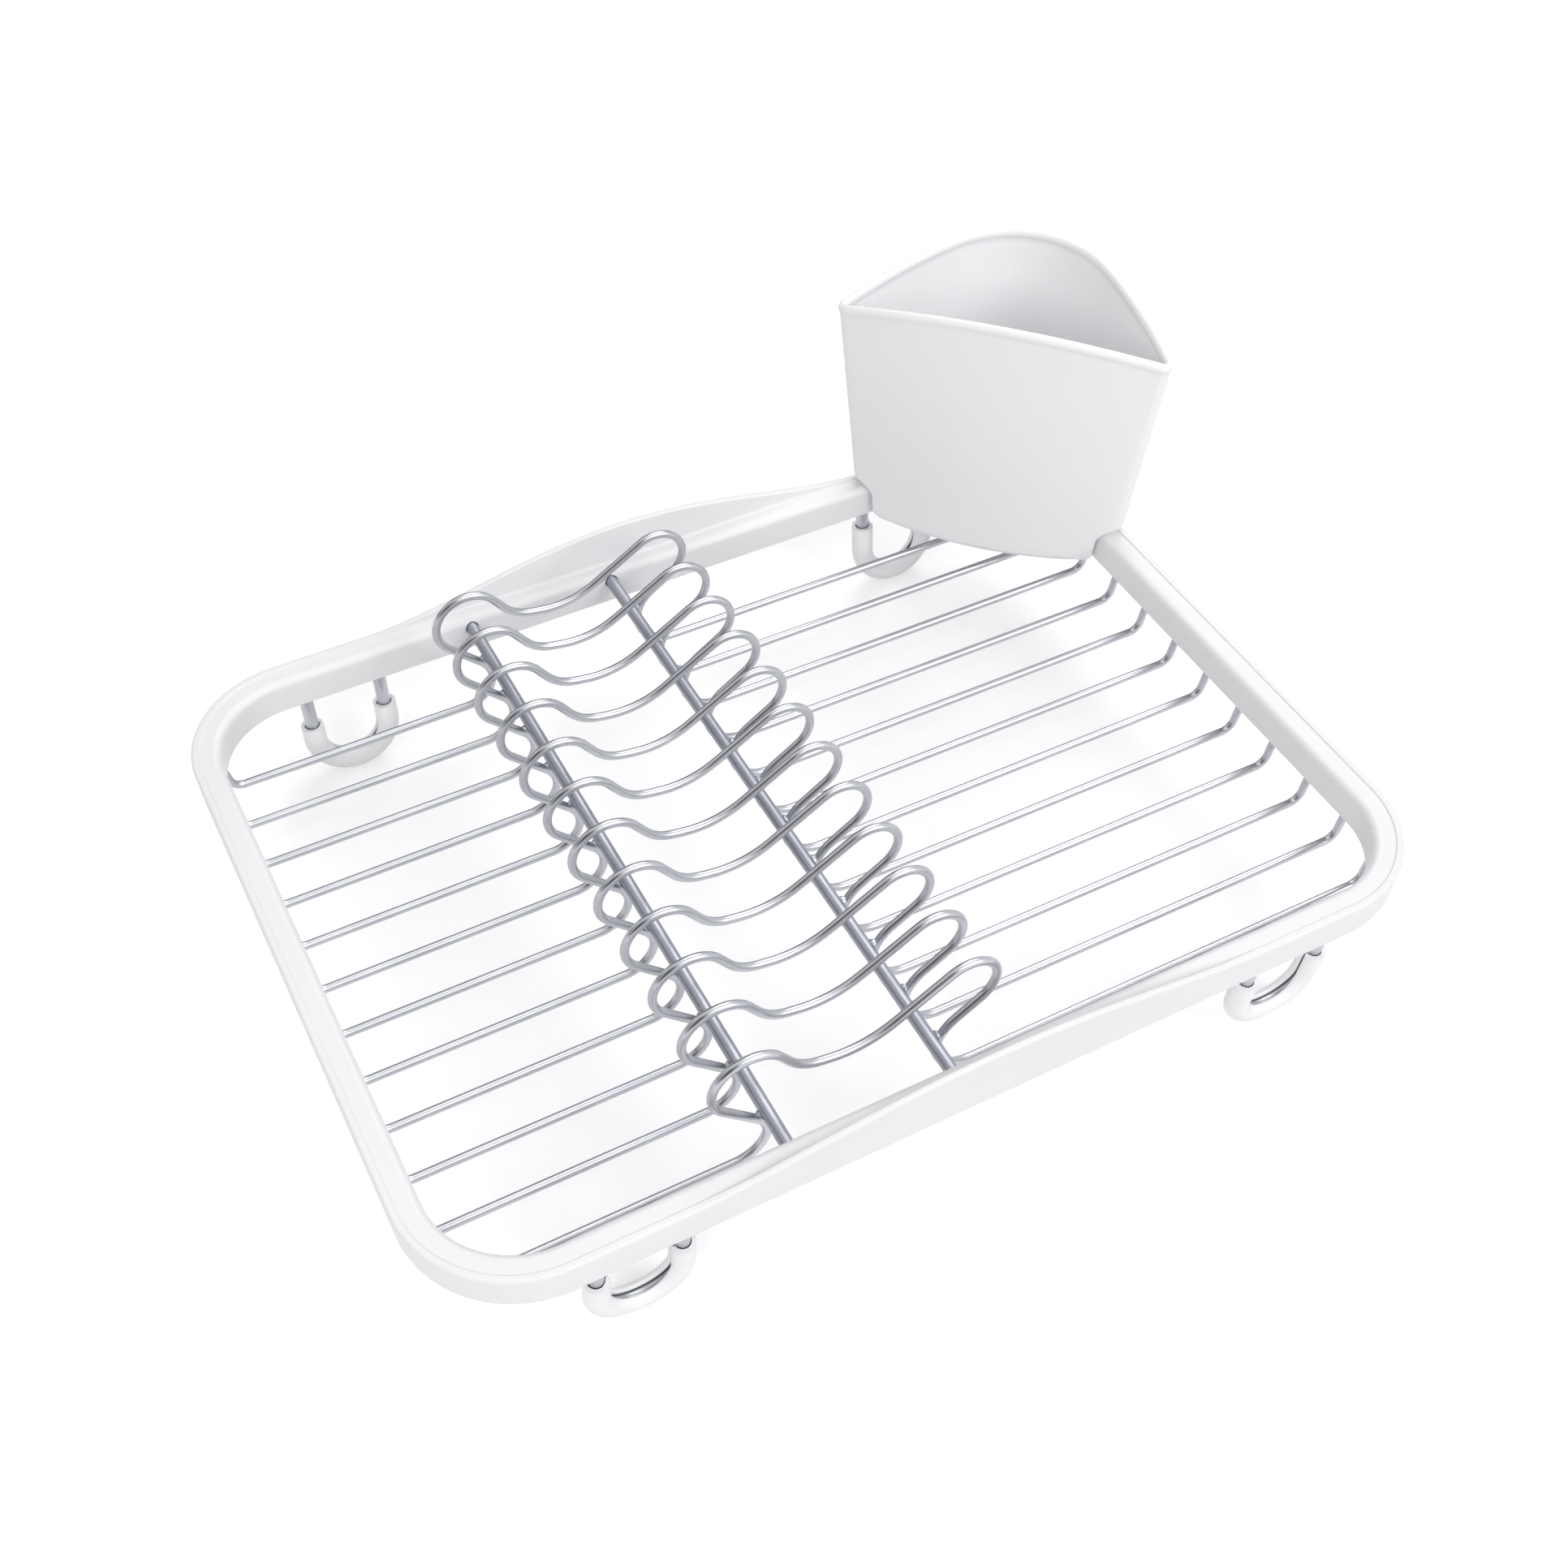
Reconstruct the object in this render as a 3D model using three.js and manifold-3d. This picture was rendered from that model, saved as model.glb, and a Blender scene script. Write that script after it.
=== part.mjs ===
// Dish drying rack: a moulded rim, twelve bent grid wires welded to two cross
// bars, four wire feet in soft sleeves, and a cutlery cup that hangs on a corner.
// Millimetres, +Z up. Built about the middle of the rim at table height, then
// moved so that the origin lies under the middle of the whole outline.
import * as THREE from 'three';
import { mergeVertices } from 'three/addons/utils/BufferGeometryUtils.js';
import Module from 'manifold-3d';

const wasm = await Module();
wasm.setup();

// ---------------------------------------------------------------- dimensions
const SEAT_GAP = 0.3; // between pieces that touch

// Rim: a channel, open below, around a rounded rectangle
const RIM_LENGTH = 347;
const RIM_WIDTH = 261.2;
const RIM_BAND = 9.7; // width of the moulding seen from above
const RIM_HEIGHT = 12.6;
const RIM_CORNER_RADIUS = 38.8; // at the outer edge
const RIM_WALL = 2.2;
const RIM_BOTTOM_HEIGHT = 38; // above the table
const RIM_EDGE_ROUND = 1.8;
const BOSS_WALL = 1.6; // around the blind holes under the band
const HOLE_LEAD = 2; // hole cutters start this far outside the face they enter
const RIM_DRAFT = 0.5; // the outer face leans in by this towards the bottom
const EDGE_ROLL = 0.5; // the outer edge stands this much proud of the band
const EDGE_ROLL_WIDTH = 2.4;
const CREST_ROUND = 0.6; // edges of the roll and of the lip's crest
const STEP_SHARE = 1 / 6; // of the height from band to crest, taken by the foot's slope

// Lip: the outer edge of the long sides rises to a grip in the middle
const LIP_RISE = 13.2;
const LIP_HALF_LENGTH = 101;
const LIP_LEAN = 1.7; // the crest leans out by this
const LIP_FOOT_SHIFT = 1; // the foot of the lip moves in by this

// Grid wires, in the XZ plane, heights above the low runs
const WIRE_DIAMETER = 2.9;
const WIRE_COUNT = 12;
const WIRE_EDGE_GAP = 14.2; // outer wires to the rim's inner face, on average
const GRID_SHIFT = -1.1; // the grid sits this much nearer the front
const WIRE_RUN_HEIGHT = 25.9; // axis of the low runs above the table
const WIRE_END_BEND = 4.9;
const WIRE_END_LEAN = THREE.MathUtils.degToRad(12);
const WIRE_SEAT_SETBACK = 3.3; // ends behind the rim's inner face
const WIRE_SEAT_DEPTH = 7;
const LEFT_TURN = { x: -74.8, radius: 10.9 };
const LEFT_LOOP = { x: -70.8, height: 40.6, radius: 11 };
const PLATE_DIP_HEIGHT = 32;
const DIP_LEFT = { x: -40.2, radius: 15.5 };
const DIP_RIGHT = { x: -36.9, radius: 29.1 };
const RIGHT_LOOP = { x: 2, height: 39.8, radius: 10.7 };
const RIGHT_TURN = { x: 3.8, radius: 12.1 };

// Cross bars, front to back, against the inside of the two low turns
const BAR_DIAMETER = 4.4;
const BAR_HEIGHT = 21.3; // above the low runs
const BAR_SEAT_DEPTH = 5;

// Feet
const FOOT_WIRE_DIAMETER = 4.8;
const FOOT_SPREAD = 27.1; // between the legs of one foot
const FOOT_INSET = 60; // from the rim's end to the foot's middle
const FOOT_SEAT_DEPTH = 8;
const FOOT_LEAN = THREE.MathUtils.degToRad(5.5); // in under the rack, from the rim's underside down
const SLEEVE_WALL = 1.45;
const SLEEVE_TOP_DROP = 11; // below the rim's underside, along the leg
const SLEEVE_SLIT = 2.6;
const SLEEVE_FLAT = 0.3; // pressed flat by this where it stands on the table

// Cutlery cup, in plan measured inwards from the rim's inner corner
const CUP_WALL = 2.2;
const CUP_RISE = 81; // from the rim's top to the wall's top at the two tips
const CUP_ARCH = 6.7; // the top edge is higher by this in the middle
const CUP_DROP = 14.7; // lower part below the rim's top
const CUP_SIDE_GAP = 1.2; // lower part to the rim's inner face
const CUP_LEDGE_FILLET = 4; // where the ledge turns down into the lower part
const CUP_BEAD_RADIUS = 1.9;
const CUP_FOOT_PLAN = {
  tip: { along: 61.4, inside: -4.9, radius: 5.4 },
  corner: { inside: 27.4, radius: 36.9 },
  frontRadius: 157,
  sideRadius: 400,
};
const CUP_TOP_PLAN = {
  tip: { along: 71.7, inside: -6.6, radius: 4.3 },
  corner: { inside: 22.5, radius: 40.4 },
  frontRadius: 285,
  sideRadius: 262,
};
const DRAIN_HOLE_DIAMETER = 6;
const DRAIN_HOLE_PITCH = 14;
const DRAIN_HOLE_ROWS = 3;
const DRAIN_HOLE_EDGE = 15; // first hole, in from the rim's inner faces
const CUT_CLEARANCE = 4; // cutters run past the faces they open

// Cutters that shape the cup's lower part: reaches in plan, in distances of a tip
// from the corner, and depths, in drops of the lower part
const CUP_CUTTERS = { pocketReach: 2, slabReach: 1.5, pocketDepth: 2, slabDepth: 1.9 };

// Facets
const WIRE_SIDES = 6;
const ROD_SIDES = 8;
const BEND_STEP = THREE.MathUtils.degToRad(30);
const SLEEVE_SIDES = 9; // odd, so that a flat faces away from the slit
const FOOT_BEND_STEPS = 8; // even, so that a section lies at the lowest point
const CORNER_STEPS = 6;
const LIP_STEPS = 16;
const BEAD_SIDES = 6;
const FILLET_STEPS = 3;
const CUP_PLAN_STEPS = { tip: 5, corner: 8, front: 8, side: 5 };
const WELD_DISTANCE = 1e-4; // points nearer than this are one

// ------------------------------------------------------------- derived sizes
const wireRadius = WIRE_DIAMETER / 2;
const barRadius = BAR_DIAMETER / 2;
const footWireRadius = FOOT_WIRE_DIAMETER / 2;
const rimTop = RIM_BOTTOM_HEIGHT + RIM_HEIGHT;
const innerHalfLength = RIM_LENGTH / 2 - RIM_BAND;
const innerHalfWidth = RIM_WIDTH / 2 - RIM_BAND;
const innerCornerRadius = RIM_CORNER_RADIUS - RIM_BAND;
const wirePitch = (2 * (innerHalfWidth - WIRE_EDGE_GAP)) / (WIRE_COUNT - 1);

// ----------------------------------------------------------------- materials
const material = (color, roughness, metalness) =>
  new THREE.MeshStandardMaterial({ color, roughness, metalness });
const rimPlastic = () => material(0xf1eff2, 0.35, 0);
const cupPlastic = () => material(0xececef, 0.55, 0);
const satinNickel = () => material(0xb4b4c2, 0.3, 1);
const sleeveVinyl = () => material(0xe9edf0, 0.25, 0);

// ------------------------------------------------------------ solid geometry
function toManifold(geometry) {
  const bare = geometry.clone();
  bare.deleteAttribute('normal');
  bare.deleteAttribute('uv');
  const merged = mergeVertices(bare, WELD_DISTANCE);
  return new wasm.Manifold(new wasm.Mesh({
    numProp: 3,
    vertProperties: new Float32Array(merged.attributes.position.array),
    triVerts: new Uint32Array(merged.index.array),
  }));
}

function toGeometry(manifold) {
  const mesh = manifold.getMesh();
  const geometry = new THREE.BufferGeometry();
  geometry.setAttribute('position', new THREE.BufferAttribute(new Float32Array(mesh.vertProperties), 3));
  geometry.setIndex(new THREE.BufferAttribute(new Uint32Array(mesh.triVerts), 1));
  return geometry;
}

// Skin over a row of equal rings of points. A closed row joins its last ring to
// its first, and an open one is capped by a fan from the middle of each end ring.
function loft(rings, closed) {
  const size = rings[0].length;
  const points = rings.flat();
  const index = [];
  const spans = closed ? rings.length : rings.length - 1;
  for (let ring = 0; ring < spans; ring += 1) {
    const here = ring * size;
    const next = ((ring + 1) % rings.length) * size;
    for (let k = 0; k < size; k += 1) {
      const after = (k + 1) % size;
      index.push(here + k, here + after, next + after, here + k, next + after, next + k);
    }
  }
  if (!closed) {
    const lastRing = (rings.length - 1) * size;
    const ends = [rings[0], rings[rings.length - 1]].map((ring) =>
      ring.reduce((sum, point) => sum.add(point), new THREE.Vector3()).divideScalar(size));
    points.push(...ends);
    for (let k = 0; k < size; k += 1) {
      const after = (k + 1) % size;
      index.push(points.length - 2, after, k);
      index.push(points.length - 1, lastRing + k, lastRing + after);
    }
  }
  const geometry = new THREE.BufferGeometry().setFromPoints(points);
  geometry.setIndex(index);
  return geometry;
}

function circleShape(radius, sides) {
  const start = Math.PI / sides;
  const corners = Array.from({ length: sides }, (_, k) => {
    const angle = start + (2 * Math.PI * k) / sides;
    return new THREE.Vector2(radius * Math.cos(angle), radius * Math.sin(angle));
  });
  return new THREE.Shape(corners);
}

// A curve through given stations, each with its own tangent, so that a sweep has
// its sections exactly there and square to the wire.
class StationCurve extends THREE.Curve {
  constructor(stations) {
    super();
    this.stations = stations;
  }

  stationAt(u) {
    return this.stations[Math.round(u * (this.stations.length - 1))];
  }

  getPointAt(u, target = new THREE.Vector3()) {
    return target.copy(this.stationAt(u).point);
  }

  getTangentAt(u, target = new THREE.Vector3()) {
    return target.copy(this.stationAt(u).tangent);
  }

  getPoint(u, target) {
    return this.getPointAt(u, target);
  }
}

function sweep(shape, stations) {
  return new THREE.ExtrudeGeometry(shape, {
    extrudePath: new StationCurve(stations),
    steps: stations.length - 1,
    bevelEnabled: false,
    curveSegments: 1,
  });
}

// Upright cylinder from one height to another
function post(x, y, radius, bottom, top, sides = ROD_SIDES) {
  const geometry = new THREE.CylinderGeometry(radius, radius, top - bottom, sides);
  geometry.rotateX(Math.PI / 2);
  geometry.translate(x, y, (bottom + top) / 2);
  return geometry;
}

// Cylinder about the line between two points
function pin(from, to, radius, sides = ROD_SIDES) {
  const along = to.clone().sub(from);
  const geometry = new THREE.CylinderGeometry(radius, radius, along.length(), sides);
  const turn = new THREE.Quaternion().setFromUnitVectors(new THREE.Vector3(0, 1, 0), along.normalize());
  geometry.applyQuaternion(turn);
  geometry.translate((from.x + to.x) / 2, (from.y + to.y) / 2, (from.z + to.z) / 2);
  return geometry;
}

// Radius of a hole whose flats clear a round rod
const holeRadius = (rodRadius, sides = ROD_SIDES) => (rodRadius + SEAT_GAP) / Math.cos(Math.PI / sides);

// ---------------------------------------------------------------- bent wires
// A bend is an arc about a centre; turn is +1 for anticlockwise and -1 for
// clockwise, seen with x to the right and z up. Its steps follow from BEND_STEP
// unless they are given.
const bend = (x, z, radius, turn, steps) => ({ centre: new THREE.Vector2(x, z), radius, turn, steps });

// Direction of the straight run that leaves one bend and meets the next
function headingBetween(a, b) {
  const gap = b.centre.clone().sub(a.centre);
  const offset = (a.radius * a.turn - b.radius * b.turn) / gap.length();
  return gap.angle() + Math.asin(offset);
}

// Stations along a wire that starts and ends straight and runs tangentially
// from bend to bend, in the XZ plane at the given y.
function wireStations(bends, start, end, y) {
  const headings = [
    start.heading,
    ...bends.slice(1).map((next, i) => headingBetween(bends[i], next)),
    end.heading,
  ];
  const stations = [];
  const add = (x, z, heading) => stations.push({
    point: new THREE.Vector3(x, y, z),
    tangent: new THREE.Vector3(Math.cos(heading), 0, Math.sin(heading)),
  });
  const onBend = ({ centre, radius, turn }, heading) => [
    centre.x + radius * turn * Math.sin(heading),
    centre.y - radius * turn * Math.cos(heading),
  ];
  const [startX, startZ] = onBend(bends[0], start.heading);
  add(startX - start.length * Math.cos(start.heading), startZ - start.length * Math.sin(start.heading),
    start.heading);
  bends.forEach((arc, i) => {
    const full = 2 * Math.PI;
    const sweepAngle = ((arc.turn * (headings[i + 1] - headings[i])) % full + full) % full;
    const steps = arc.steps ?? Math.ceil(sweepAngle / BEND_STEP);
    for (let k = 0; k <= steps; k += 1) {
      const heading = headings[i] + (arc.turn * sweepAngle * k) / steps;
      add(...onBend(arc, heading), heading);
    }
  });
  const [endX, endZ] = onBend(bends[bends.length - 1], end.heading);
  add(endX + end.length * Math.cos(end.heading), endZ + end.length * Math.sin(end.heading), end.heading);
  return stations;
}

// x of the rim's inner face at a given y: straight, then round the corner
function innerFaceX(y) {
  const intoCorner = Math.abs(y) - (innerHalfWidth - innerCornerRadius);
  if (intoCorner <= 0) return innerHalfLength;
  const reach = Math.sqrt(innerCornerRadius ** 2 - Math.min(intoCorner, innerCornerRadius) ** 2);
  return innerHalfLength - innerCornerRadius + reach;
}

// x at which a wire's end passes the rim's underside
const wireEndX = (y) => innerFaceX(y) + WIRE_SEAT_SETBACK;

function gridWireStations(y) {
  const toRim = RIM_BOTTOM_HEIGHT - WIRE_RUN_HEIGHT;
  const cornerX = wireEndX(y) - toRim * Math.tan(WIRE_END_LEAN);
  // The end bend lies in the corner between the low run and the leaning end.
  const turnAngle = Math.PI / 2 - WIRE_END_LEAN;
  const tangentLength = WIRE_END_BEND * Math.tan(turnAngle / 2);
  const endBendX = cornerX - tangentLength;
  const endLength = (toRim + WIRE_SEAT_DEPTH) / Math.cos(WIRE_END_LEAN) - tangentLength;
  const raised = (height) => WIRE_RUN_HEIGHT + height;
  const bends = [
    bend(-endBendX, raised(WIRE_END_BEND), WIRE_END_BEND, 1),
    bend(LEFT_TURN.x, raised(LEFT_TURN.radius), LEFT_TURN.radius, 1),
    bend(LEFT_LOOP.x, raised(LEFT_LOOP.height), LEFT_LOOP.radius, -1),
    bend(DIP_LEFT.x, raised(PLATE_DIP_HEIGHT + DIP_LEFT.radius), DIP_LEFT.radius, 1),
    bend(DIP_RIGHT.x, raised(PLATE_DIP_HEIGHT + DIP_RIGHT.radius), DIP_RIGHT.radius, 1),
    bend(RIGHT_LOOP.x, raised(RIGHT_LOOP.height), RIGHT_LOOP.radius, -1),
    bend(RIGHT_TURN.x, raised(RIGHT_TURN.radius), RIGHT_TURN.radius, 1),
    bend(endBendX, raised(WIRE_END_BEND), WIRE_END_BEND, 1),
  ];
  const start = { heading: -Math.PI / 2 + WIRE_END_LEAN, length: endLength };
  const end = { heading: Math.PI / 2 - WIRE_END_LEAN, length: endLength };
  return wireStations(bends, start, end, y);
}

const wireRows = Array.from({ length: WIRE_COUNT }, (_, i) =>
  innerHalfWidth - WIRE_EDGE_GAP + GRID_SHIFT - i * wirePitch);

// x of a bar that touches the inside of a low turn, on the turn's given side
function barX(turn, side) {
  const reach = turn.radius + wireRadius + SEAT_GAP + barRadius;
  return turn.x + side * Math.sqrt(reach ** 2 - (BAR_HEIGHT - turn.radius) ** 2);
}

const bars = [
  { name: 'cross_bar_left', x: barX(LEFT_TURN, 1) },
  { name: 'cross_bar_right', x: barX(RIGHT_TURN, -1) },
];

// ---------------------------------------------------------------------- feet
const feet = [
  { name: 'back_left', x: -1, y: 1 },
  { name: 'back_right', x: 1, y: 1 },
  { name: 'front_left', x: -1, y: -1 },
  { name: 'front_right', x: 1, y: -1 },
].map(({ name, x, y }) => ({
  name,
  x: x * (RIM_LENGTH / 2 - FOOT_INSET),
  y: y * (RIM_WIDTH / 2 - RIM_BAND / 2),
}));

const sleeveRadius = footWireRadius + SEAT_GAP + SLEEVE_WALL;

// Height of the bend's centre before the U leans, so that the leaning sleeve
// would reach below the table by what is pressed flat.
function footCentreHeight() {
  const lowestAxis = sleeveRadius - SLEEVE_FLAT;
  return RIM_BOTTOM_HEIGHT - (RIM_BOTTOM_HEIGHT - lowestAxis) / Math.cos(FOOT_LEAN) + FOOT_SPREAD / 2;
}

// The upright U of a foot, from one leg's top to the other's
function footStations(foot, legTop) {
  const radius = FOOT_SPREAD / 2;
  const centreHeight = footCentreHeight();
  const down = { heading: -Math.PI / 2, length: legTop - centreHeight };
  const up = { heading: Math.PI / 2, length: legTop - centreHeight };
  return wireStations([bend(foot.x, centreHeight, radius, 1, FOOT_BEND_STEPS)], down, up, foot.y);
}

// Leans a foot's upright piece in under the rack, about the rim's underside
function leanIn(geometry, foot) {
  geometry.translate(0, -foot.y, -RIM_BOTTOM_HEIGHT);
  geometry.rotateX(-Math.sign(foot.y) * FOOT_LEAN);
  geometry.translate(0, foot.y, RIM_BOTTOM_HEIGHT);
  return geometry;
}

function footWire(foot) {
  const legTop = RIM_BOTTOM_HEIGHT + FOOT_SEAT_DEPTH;
  return leanIn(sweep(circleShape(footWireRadius, ROD_SIDES), footStations(foot, legTop)), foot);
}

// Split tube: its slit faces the inside of the U, on the section's -y side, and
// its flats touch the true round surfaces.
function sleeveShape() {
  const flatHalfAngle = Math.PI / SLEEVE_SIDES;
  const arc = (radius, fromSlit) => {
    const corner = radius / Math.cos(flatHalfAngle);
    const half = Math.asin(SLEEVE_SLIT / 2 / corner);
    return Array.from({ length: SLEEVE_SIDES + 1 }, (_, k) => {
      const share = fromSlit ? k / SLEEVE_SIDES : 1 - k / SLEEVE_SIDES;
      const angle = -Math.PI / 2 + half + share * (2 * Math.PI - 2 * half);
      return new THREE.Vector2(corner * Math.cos(angle), corner * Math.sin(angle));
    });
  };
  return new THREE.Shape([...arc(sleeveRadius, true), ...arc(footWireRadius + SEAT_GAP, false)]);
}

function footSleeve(foot) {
  const stations = footStations(foot, RIM_BOTTOM_HEIGHT - SLEEVE_TOP_DROP);
  const tube = toManifold(leanIn(sweep(sleeveShape(), stations), foot));
  const table = new THREE.BoxGeometry(2 * FOOT_SPREAD, 2 * FOOT_SPREAD, 2 * sleeveRadius);
  table.translate(foot.x, foot.y, -sleeveRadius);
  return toGeometry(tube.subtract(toManifold(table)));
}

// ----------------------------------------------------------------------- rim
// How far the lip has risen at a given x on a long side, from 0 to 1
function lipShare(x) {
  const reach = Math.min(Math.abs(x) / LIP_HALF_LENGTH, 1);
  return (1 - reach ** 2) ** 2;
}

// Outline of the channel at one station: distance out from the inner face, and
// height above the rim's bottom.
function rimSection(lip) {
  const crest = RIM_HEIGHT + EDGE_ROLL + lip * (LIP_RISE - EDGE_ROLL);
  const crestOut = RIM_BAND + lip * LIP_LEAN;
  const crestIn = crestOut - EDGE_ROLL_WIDTH;
  const foot = RIM_BAND - EDGE_ROLL_WIDTH - lip * LIP_FOOT_SHIFT;
  const round = RIM_EDGE_ROUND;
  const cut = 1 - Math.SQRT1_2;
  const ceiling = RIM_HEIGHT - RIM_WALL;
  return [
    [0, 0],
    [0, RIM_HEIGHT - round],
    [round * cut, RIM_HEIGHT - round * cut],
    [round, RIM_HEIGHT],
    [foot - round, RIM_HEIGHT],
    [foot, RIM_HEIGHT + (crest - RIM_HEIGHT) * STEP_SHARE],
    [crestIn + CREST_ROUND / 2, crest - CREST_ROUND],
    [crestIn + 2 * CREST_ROUND, crest],
    [crestOut - CREST_ROUND, crest - CREST_ROUND / 3],
    [crestOut, crest - 2 * CREST_ROUND],
    [RIM_BAND, RIM_HEIGHT - round],
    [RIM_BAND - RIM_DRAFT, 0],
    [RIM_BAND - RIM_WALL, 0],
    [RIM_BAND - RIM_WALL, ceiling],
    [RIM_WALL, ceiling],
    [RIM_WALL, 0],
  ];
}

// Stations round the inner face, anticlockwise from above
function rimStations() {
  const stations = [];
  const add = (x, y, angle, lip) => stations.push({ x, y, angle, lip });
  const cornerX = innerHalfLength - innerCornerRadius;
  const cornerY = innerHalfWidth - innerCornerRadius;
  [[1, 1], [-1, 1], [-1, -1], [1, -1]].forEach(([sideX, sideY], quarter) => {
    for (let k = 0; k <= CORNER_STEPS; k += 1) {
      const angle = (Math.PI / 2) * (quarter + k / CORNER_STEPS);
      add(sideX * cornerX + innerCornerRadius * Math.cos(angle),
        sideY * cornerY + innerCornerRadius * Math.sin(angle), angle, 0);
    }
    // Each long side follows the corner at its start.
    if (sideX === sideY) {
      for (let k = 0; k <= LIP_STEPS; k += 1) {
        const x = sideX * LIP_HALF_LENGTH * (1 - (2 * k) / LIP_STEPS);
        add(x, sideY * innerHalfWidth, (sideY * Math.PI) / 2, lipShare(x));
      }
    }
  });
  return stations;
}

function rimFrame() {
  const rings = rimStations().map(({ x, y, angle, lip }) =>
    rimSection(lip).map(([out, up]) => new THREE.Vector3(
      x + out * Math.cos(angle), y + out * Math.sin(angle), RIM_BOTTOM_HEIGHT + up)));
  let rim = toManifold(loft(rings, true));

  const ceiling = rimTop - RIM_WALL / 2;
  const bosses = [];
  const holes = [];
  for (const y of wireRows) {
    for (const side of [-1, 1]) {
      const x = side * wireEndX(y);
      const lean = side * Math.tan(WIRE_END_LEAN);
      const depth = WIRE_SEAT_DEPTH + SEAT_GAP;
      bosses.push(post(x + (lean * depth) / 2, y, wireRadius + BOSS_WALL, RIM_BOTTOM_HEIGHT, ceiling));
      holes.push(pin(new THREE.Vector3(x - lean * HOLE_LEAD, y, RIM_BOTTOM_HEIGHT - HOLE_LEAD),
        new THREE.Vector3(x + lean * depth, y, RIM_BOTTOM_HEIGHT + depth), holeRadius(wireRadius)));
    }
  }
  for (const foot of feet) {
    for (const side of [-1, 1]) {
      const x = foot.x + (side * FOOT_SPREAD) / 2;
      bosses.push(post(x, foot.y, footWireRadius + BOSS_WALL, RIM_BOTTOM_HEIGHT, ceiling));
      holes.push(leanIn(post(x, foot.y, holeRadius(footWireRadius), RIM_BOTTOM_HEIGHT - HOLE_LEAD,
        RIM_BOTTOM_HEIGHT + FOOT_SEAT_DEPTH + SEAT_GAP), foot));
    }
  }
  const barZ = WIRE_RUN_HEIGHT + BAR_HEIGHT;
  for (const bar of bars) {
    for (const side of [-1, 1]) {
      const depth = BAR_SEAT_DEPTH + SEAT_GAP;
      bosses.push(post(bar.x, side * (innerHalfWidth + RIM_BAND / 2), barRadius + BOSS_WALL,
        RIM_BOTTOM_HEIGHT, ceiling));
      holes.push(pin(new THREE.Vector3(bar.x, side * (innerHalfWidth - HOLE_LEAD), barZ),
        new THREE.Vector3(bar.x, side * (innerHalfWidth + depth), barZ), holeRadius(barRadius)));
    }
  }
  for (const boss of bosses) rim = rim.add(toManifold(boss));
  for (const hole of holes) rim = rim.subtract(toManifold(hole));
  return toGeometry(rim);
}

// ----------------------------------------------------------------------- cup
// A cup plan is a triangle of arcs: two small tips on the rim's long and short
// side, one large corner outside the rim's corner, and three bowed sides, all
// tangent. In plan, p runs from the rim's corner along -X and q along -Y.
function blendPlans(a, b, share) {
  const mix = (from, to) => from + (to - from) * share;
  return {
    tip: {
      along: mix(a.tip.along, b.tip.along),
      inside: mix(a.tip.inside, b.tip.inside),
      radius: mix(a.tip.radius, b.tip.radius),
    },
    corner: {
      inside: mix(a.corner.inside, b.corner.inside),
      radius: mix(a.corner.radius, b.corner.radius),
    },
    frontRadius: mix(a.frontRadius, b.frontRadius),
    sideRadius: mix(a.sideRadius, b.sideRadius),
  };
}

// Centre of the bowed side that runs anticlockwise from one round to the next
function sideCentre(from, to, radius) {
  const chord = to.centre.clone().sub(from.centre);
  const span = chord.length();
  const reachFrom = radius - from.radius;
  const reachTo = radius - to.radius;
  const along = (reachFrom ** 2 - reachTo ** 2 + span ** 2) / (2 * span);
  const away = Math.sqrt(reachFrom ** 2 - along ** 2);
  const unit = chord.divideScalar(span);
  const normal = new THREE.Vector2(-unit.y, unit.x);
  return from.centre.clone().addScaledVector(unit, along).addScaledVector(normal, away);
}

// Points round a plan, anticlockwise, drawn in by an inset
function planOutline(plan, inset) {
  const { tip, corner } = plan;
  const rounds = [
    { centre: new THREE.Vector2(tip.along, tip.inside), radius: tip.radius, steps: CUP_PLAN_STEPS.tip },
    { centre: new THREE.Vector2(tip.inside, tip.along), radius: tip.radius, steps: CUP_PLAN_STEPS.tip },
    {
      centre: new THREE.Vector2(corner.inside, corner.inside),
      radius: corner.radius,
      steps: CUP_PLAN_STEPS.corner,
    },
  ];
  const sides = [
    { radius: plan.frontRadius, steps: CUP_PLAN_STEPS.front },
    { radius: plan.sideRadius, steps: CUP_PLAN_STEPS.side },
    { radius: plan.sideRadius, steps: CUP_PLAN_STEPS.side },
  ];
  const centres = sides.map(({ radius }, i) => sideCentre(rounds[i], rounds[(i + 1) % 3], radius));
  const angleFrom = (a, b) => b.clone().sub(a).angle();
  const points = [];
  const arc = (centre, radius, from, to, steps) => {
    const full = 2 * Math.PI;
    const swept = ((to - from) % full + full) % full;
    for (let k = 0; k < steps; k += 1) {
      const angle = from + (swept * k) / steps;
      points.push(new THREE.Vector2(
        centre.x + (radius - inset) * Math.cos(angle), centre.y + (radius - inset) * Math.sin(angle)));
    }
  };
  rounds.forEach((round, i) => {
    const next = rounds[(i + 1) % 3];
    const before = centres[(i + 2) % 3];
    const after = centres[i];
    arc(round.centre, round.radius, angleFrom(before, round.centre), angleFrom(after, round.centre),
      round.steps);
    arc(after, sides[i].radius, angleFrom(after, round.centre), angleFrom(after, next.centre),
      sides[i].steps);
  });
  return points;
}

// From plan coordinates at the rim's inner corner to the rack's own
const cupPoint = ({ x: p, y: q }, z) => new THREE.Vector3(innerHalfLength - p, innerHalfWidth - q, z);

// Plan at a height above the rim's top
const cupPlanAt = (height) => blendPlans(CUP_FOOT_PLAN, CUP_TOP_PLAN, height / CUP_RISE);

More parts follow.
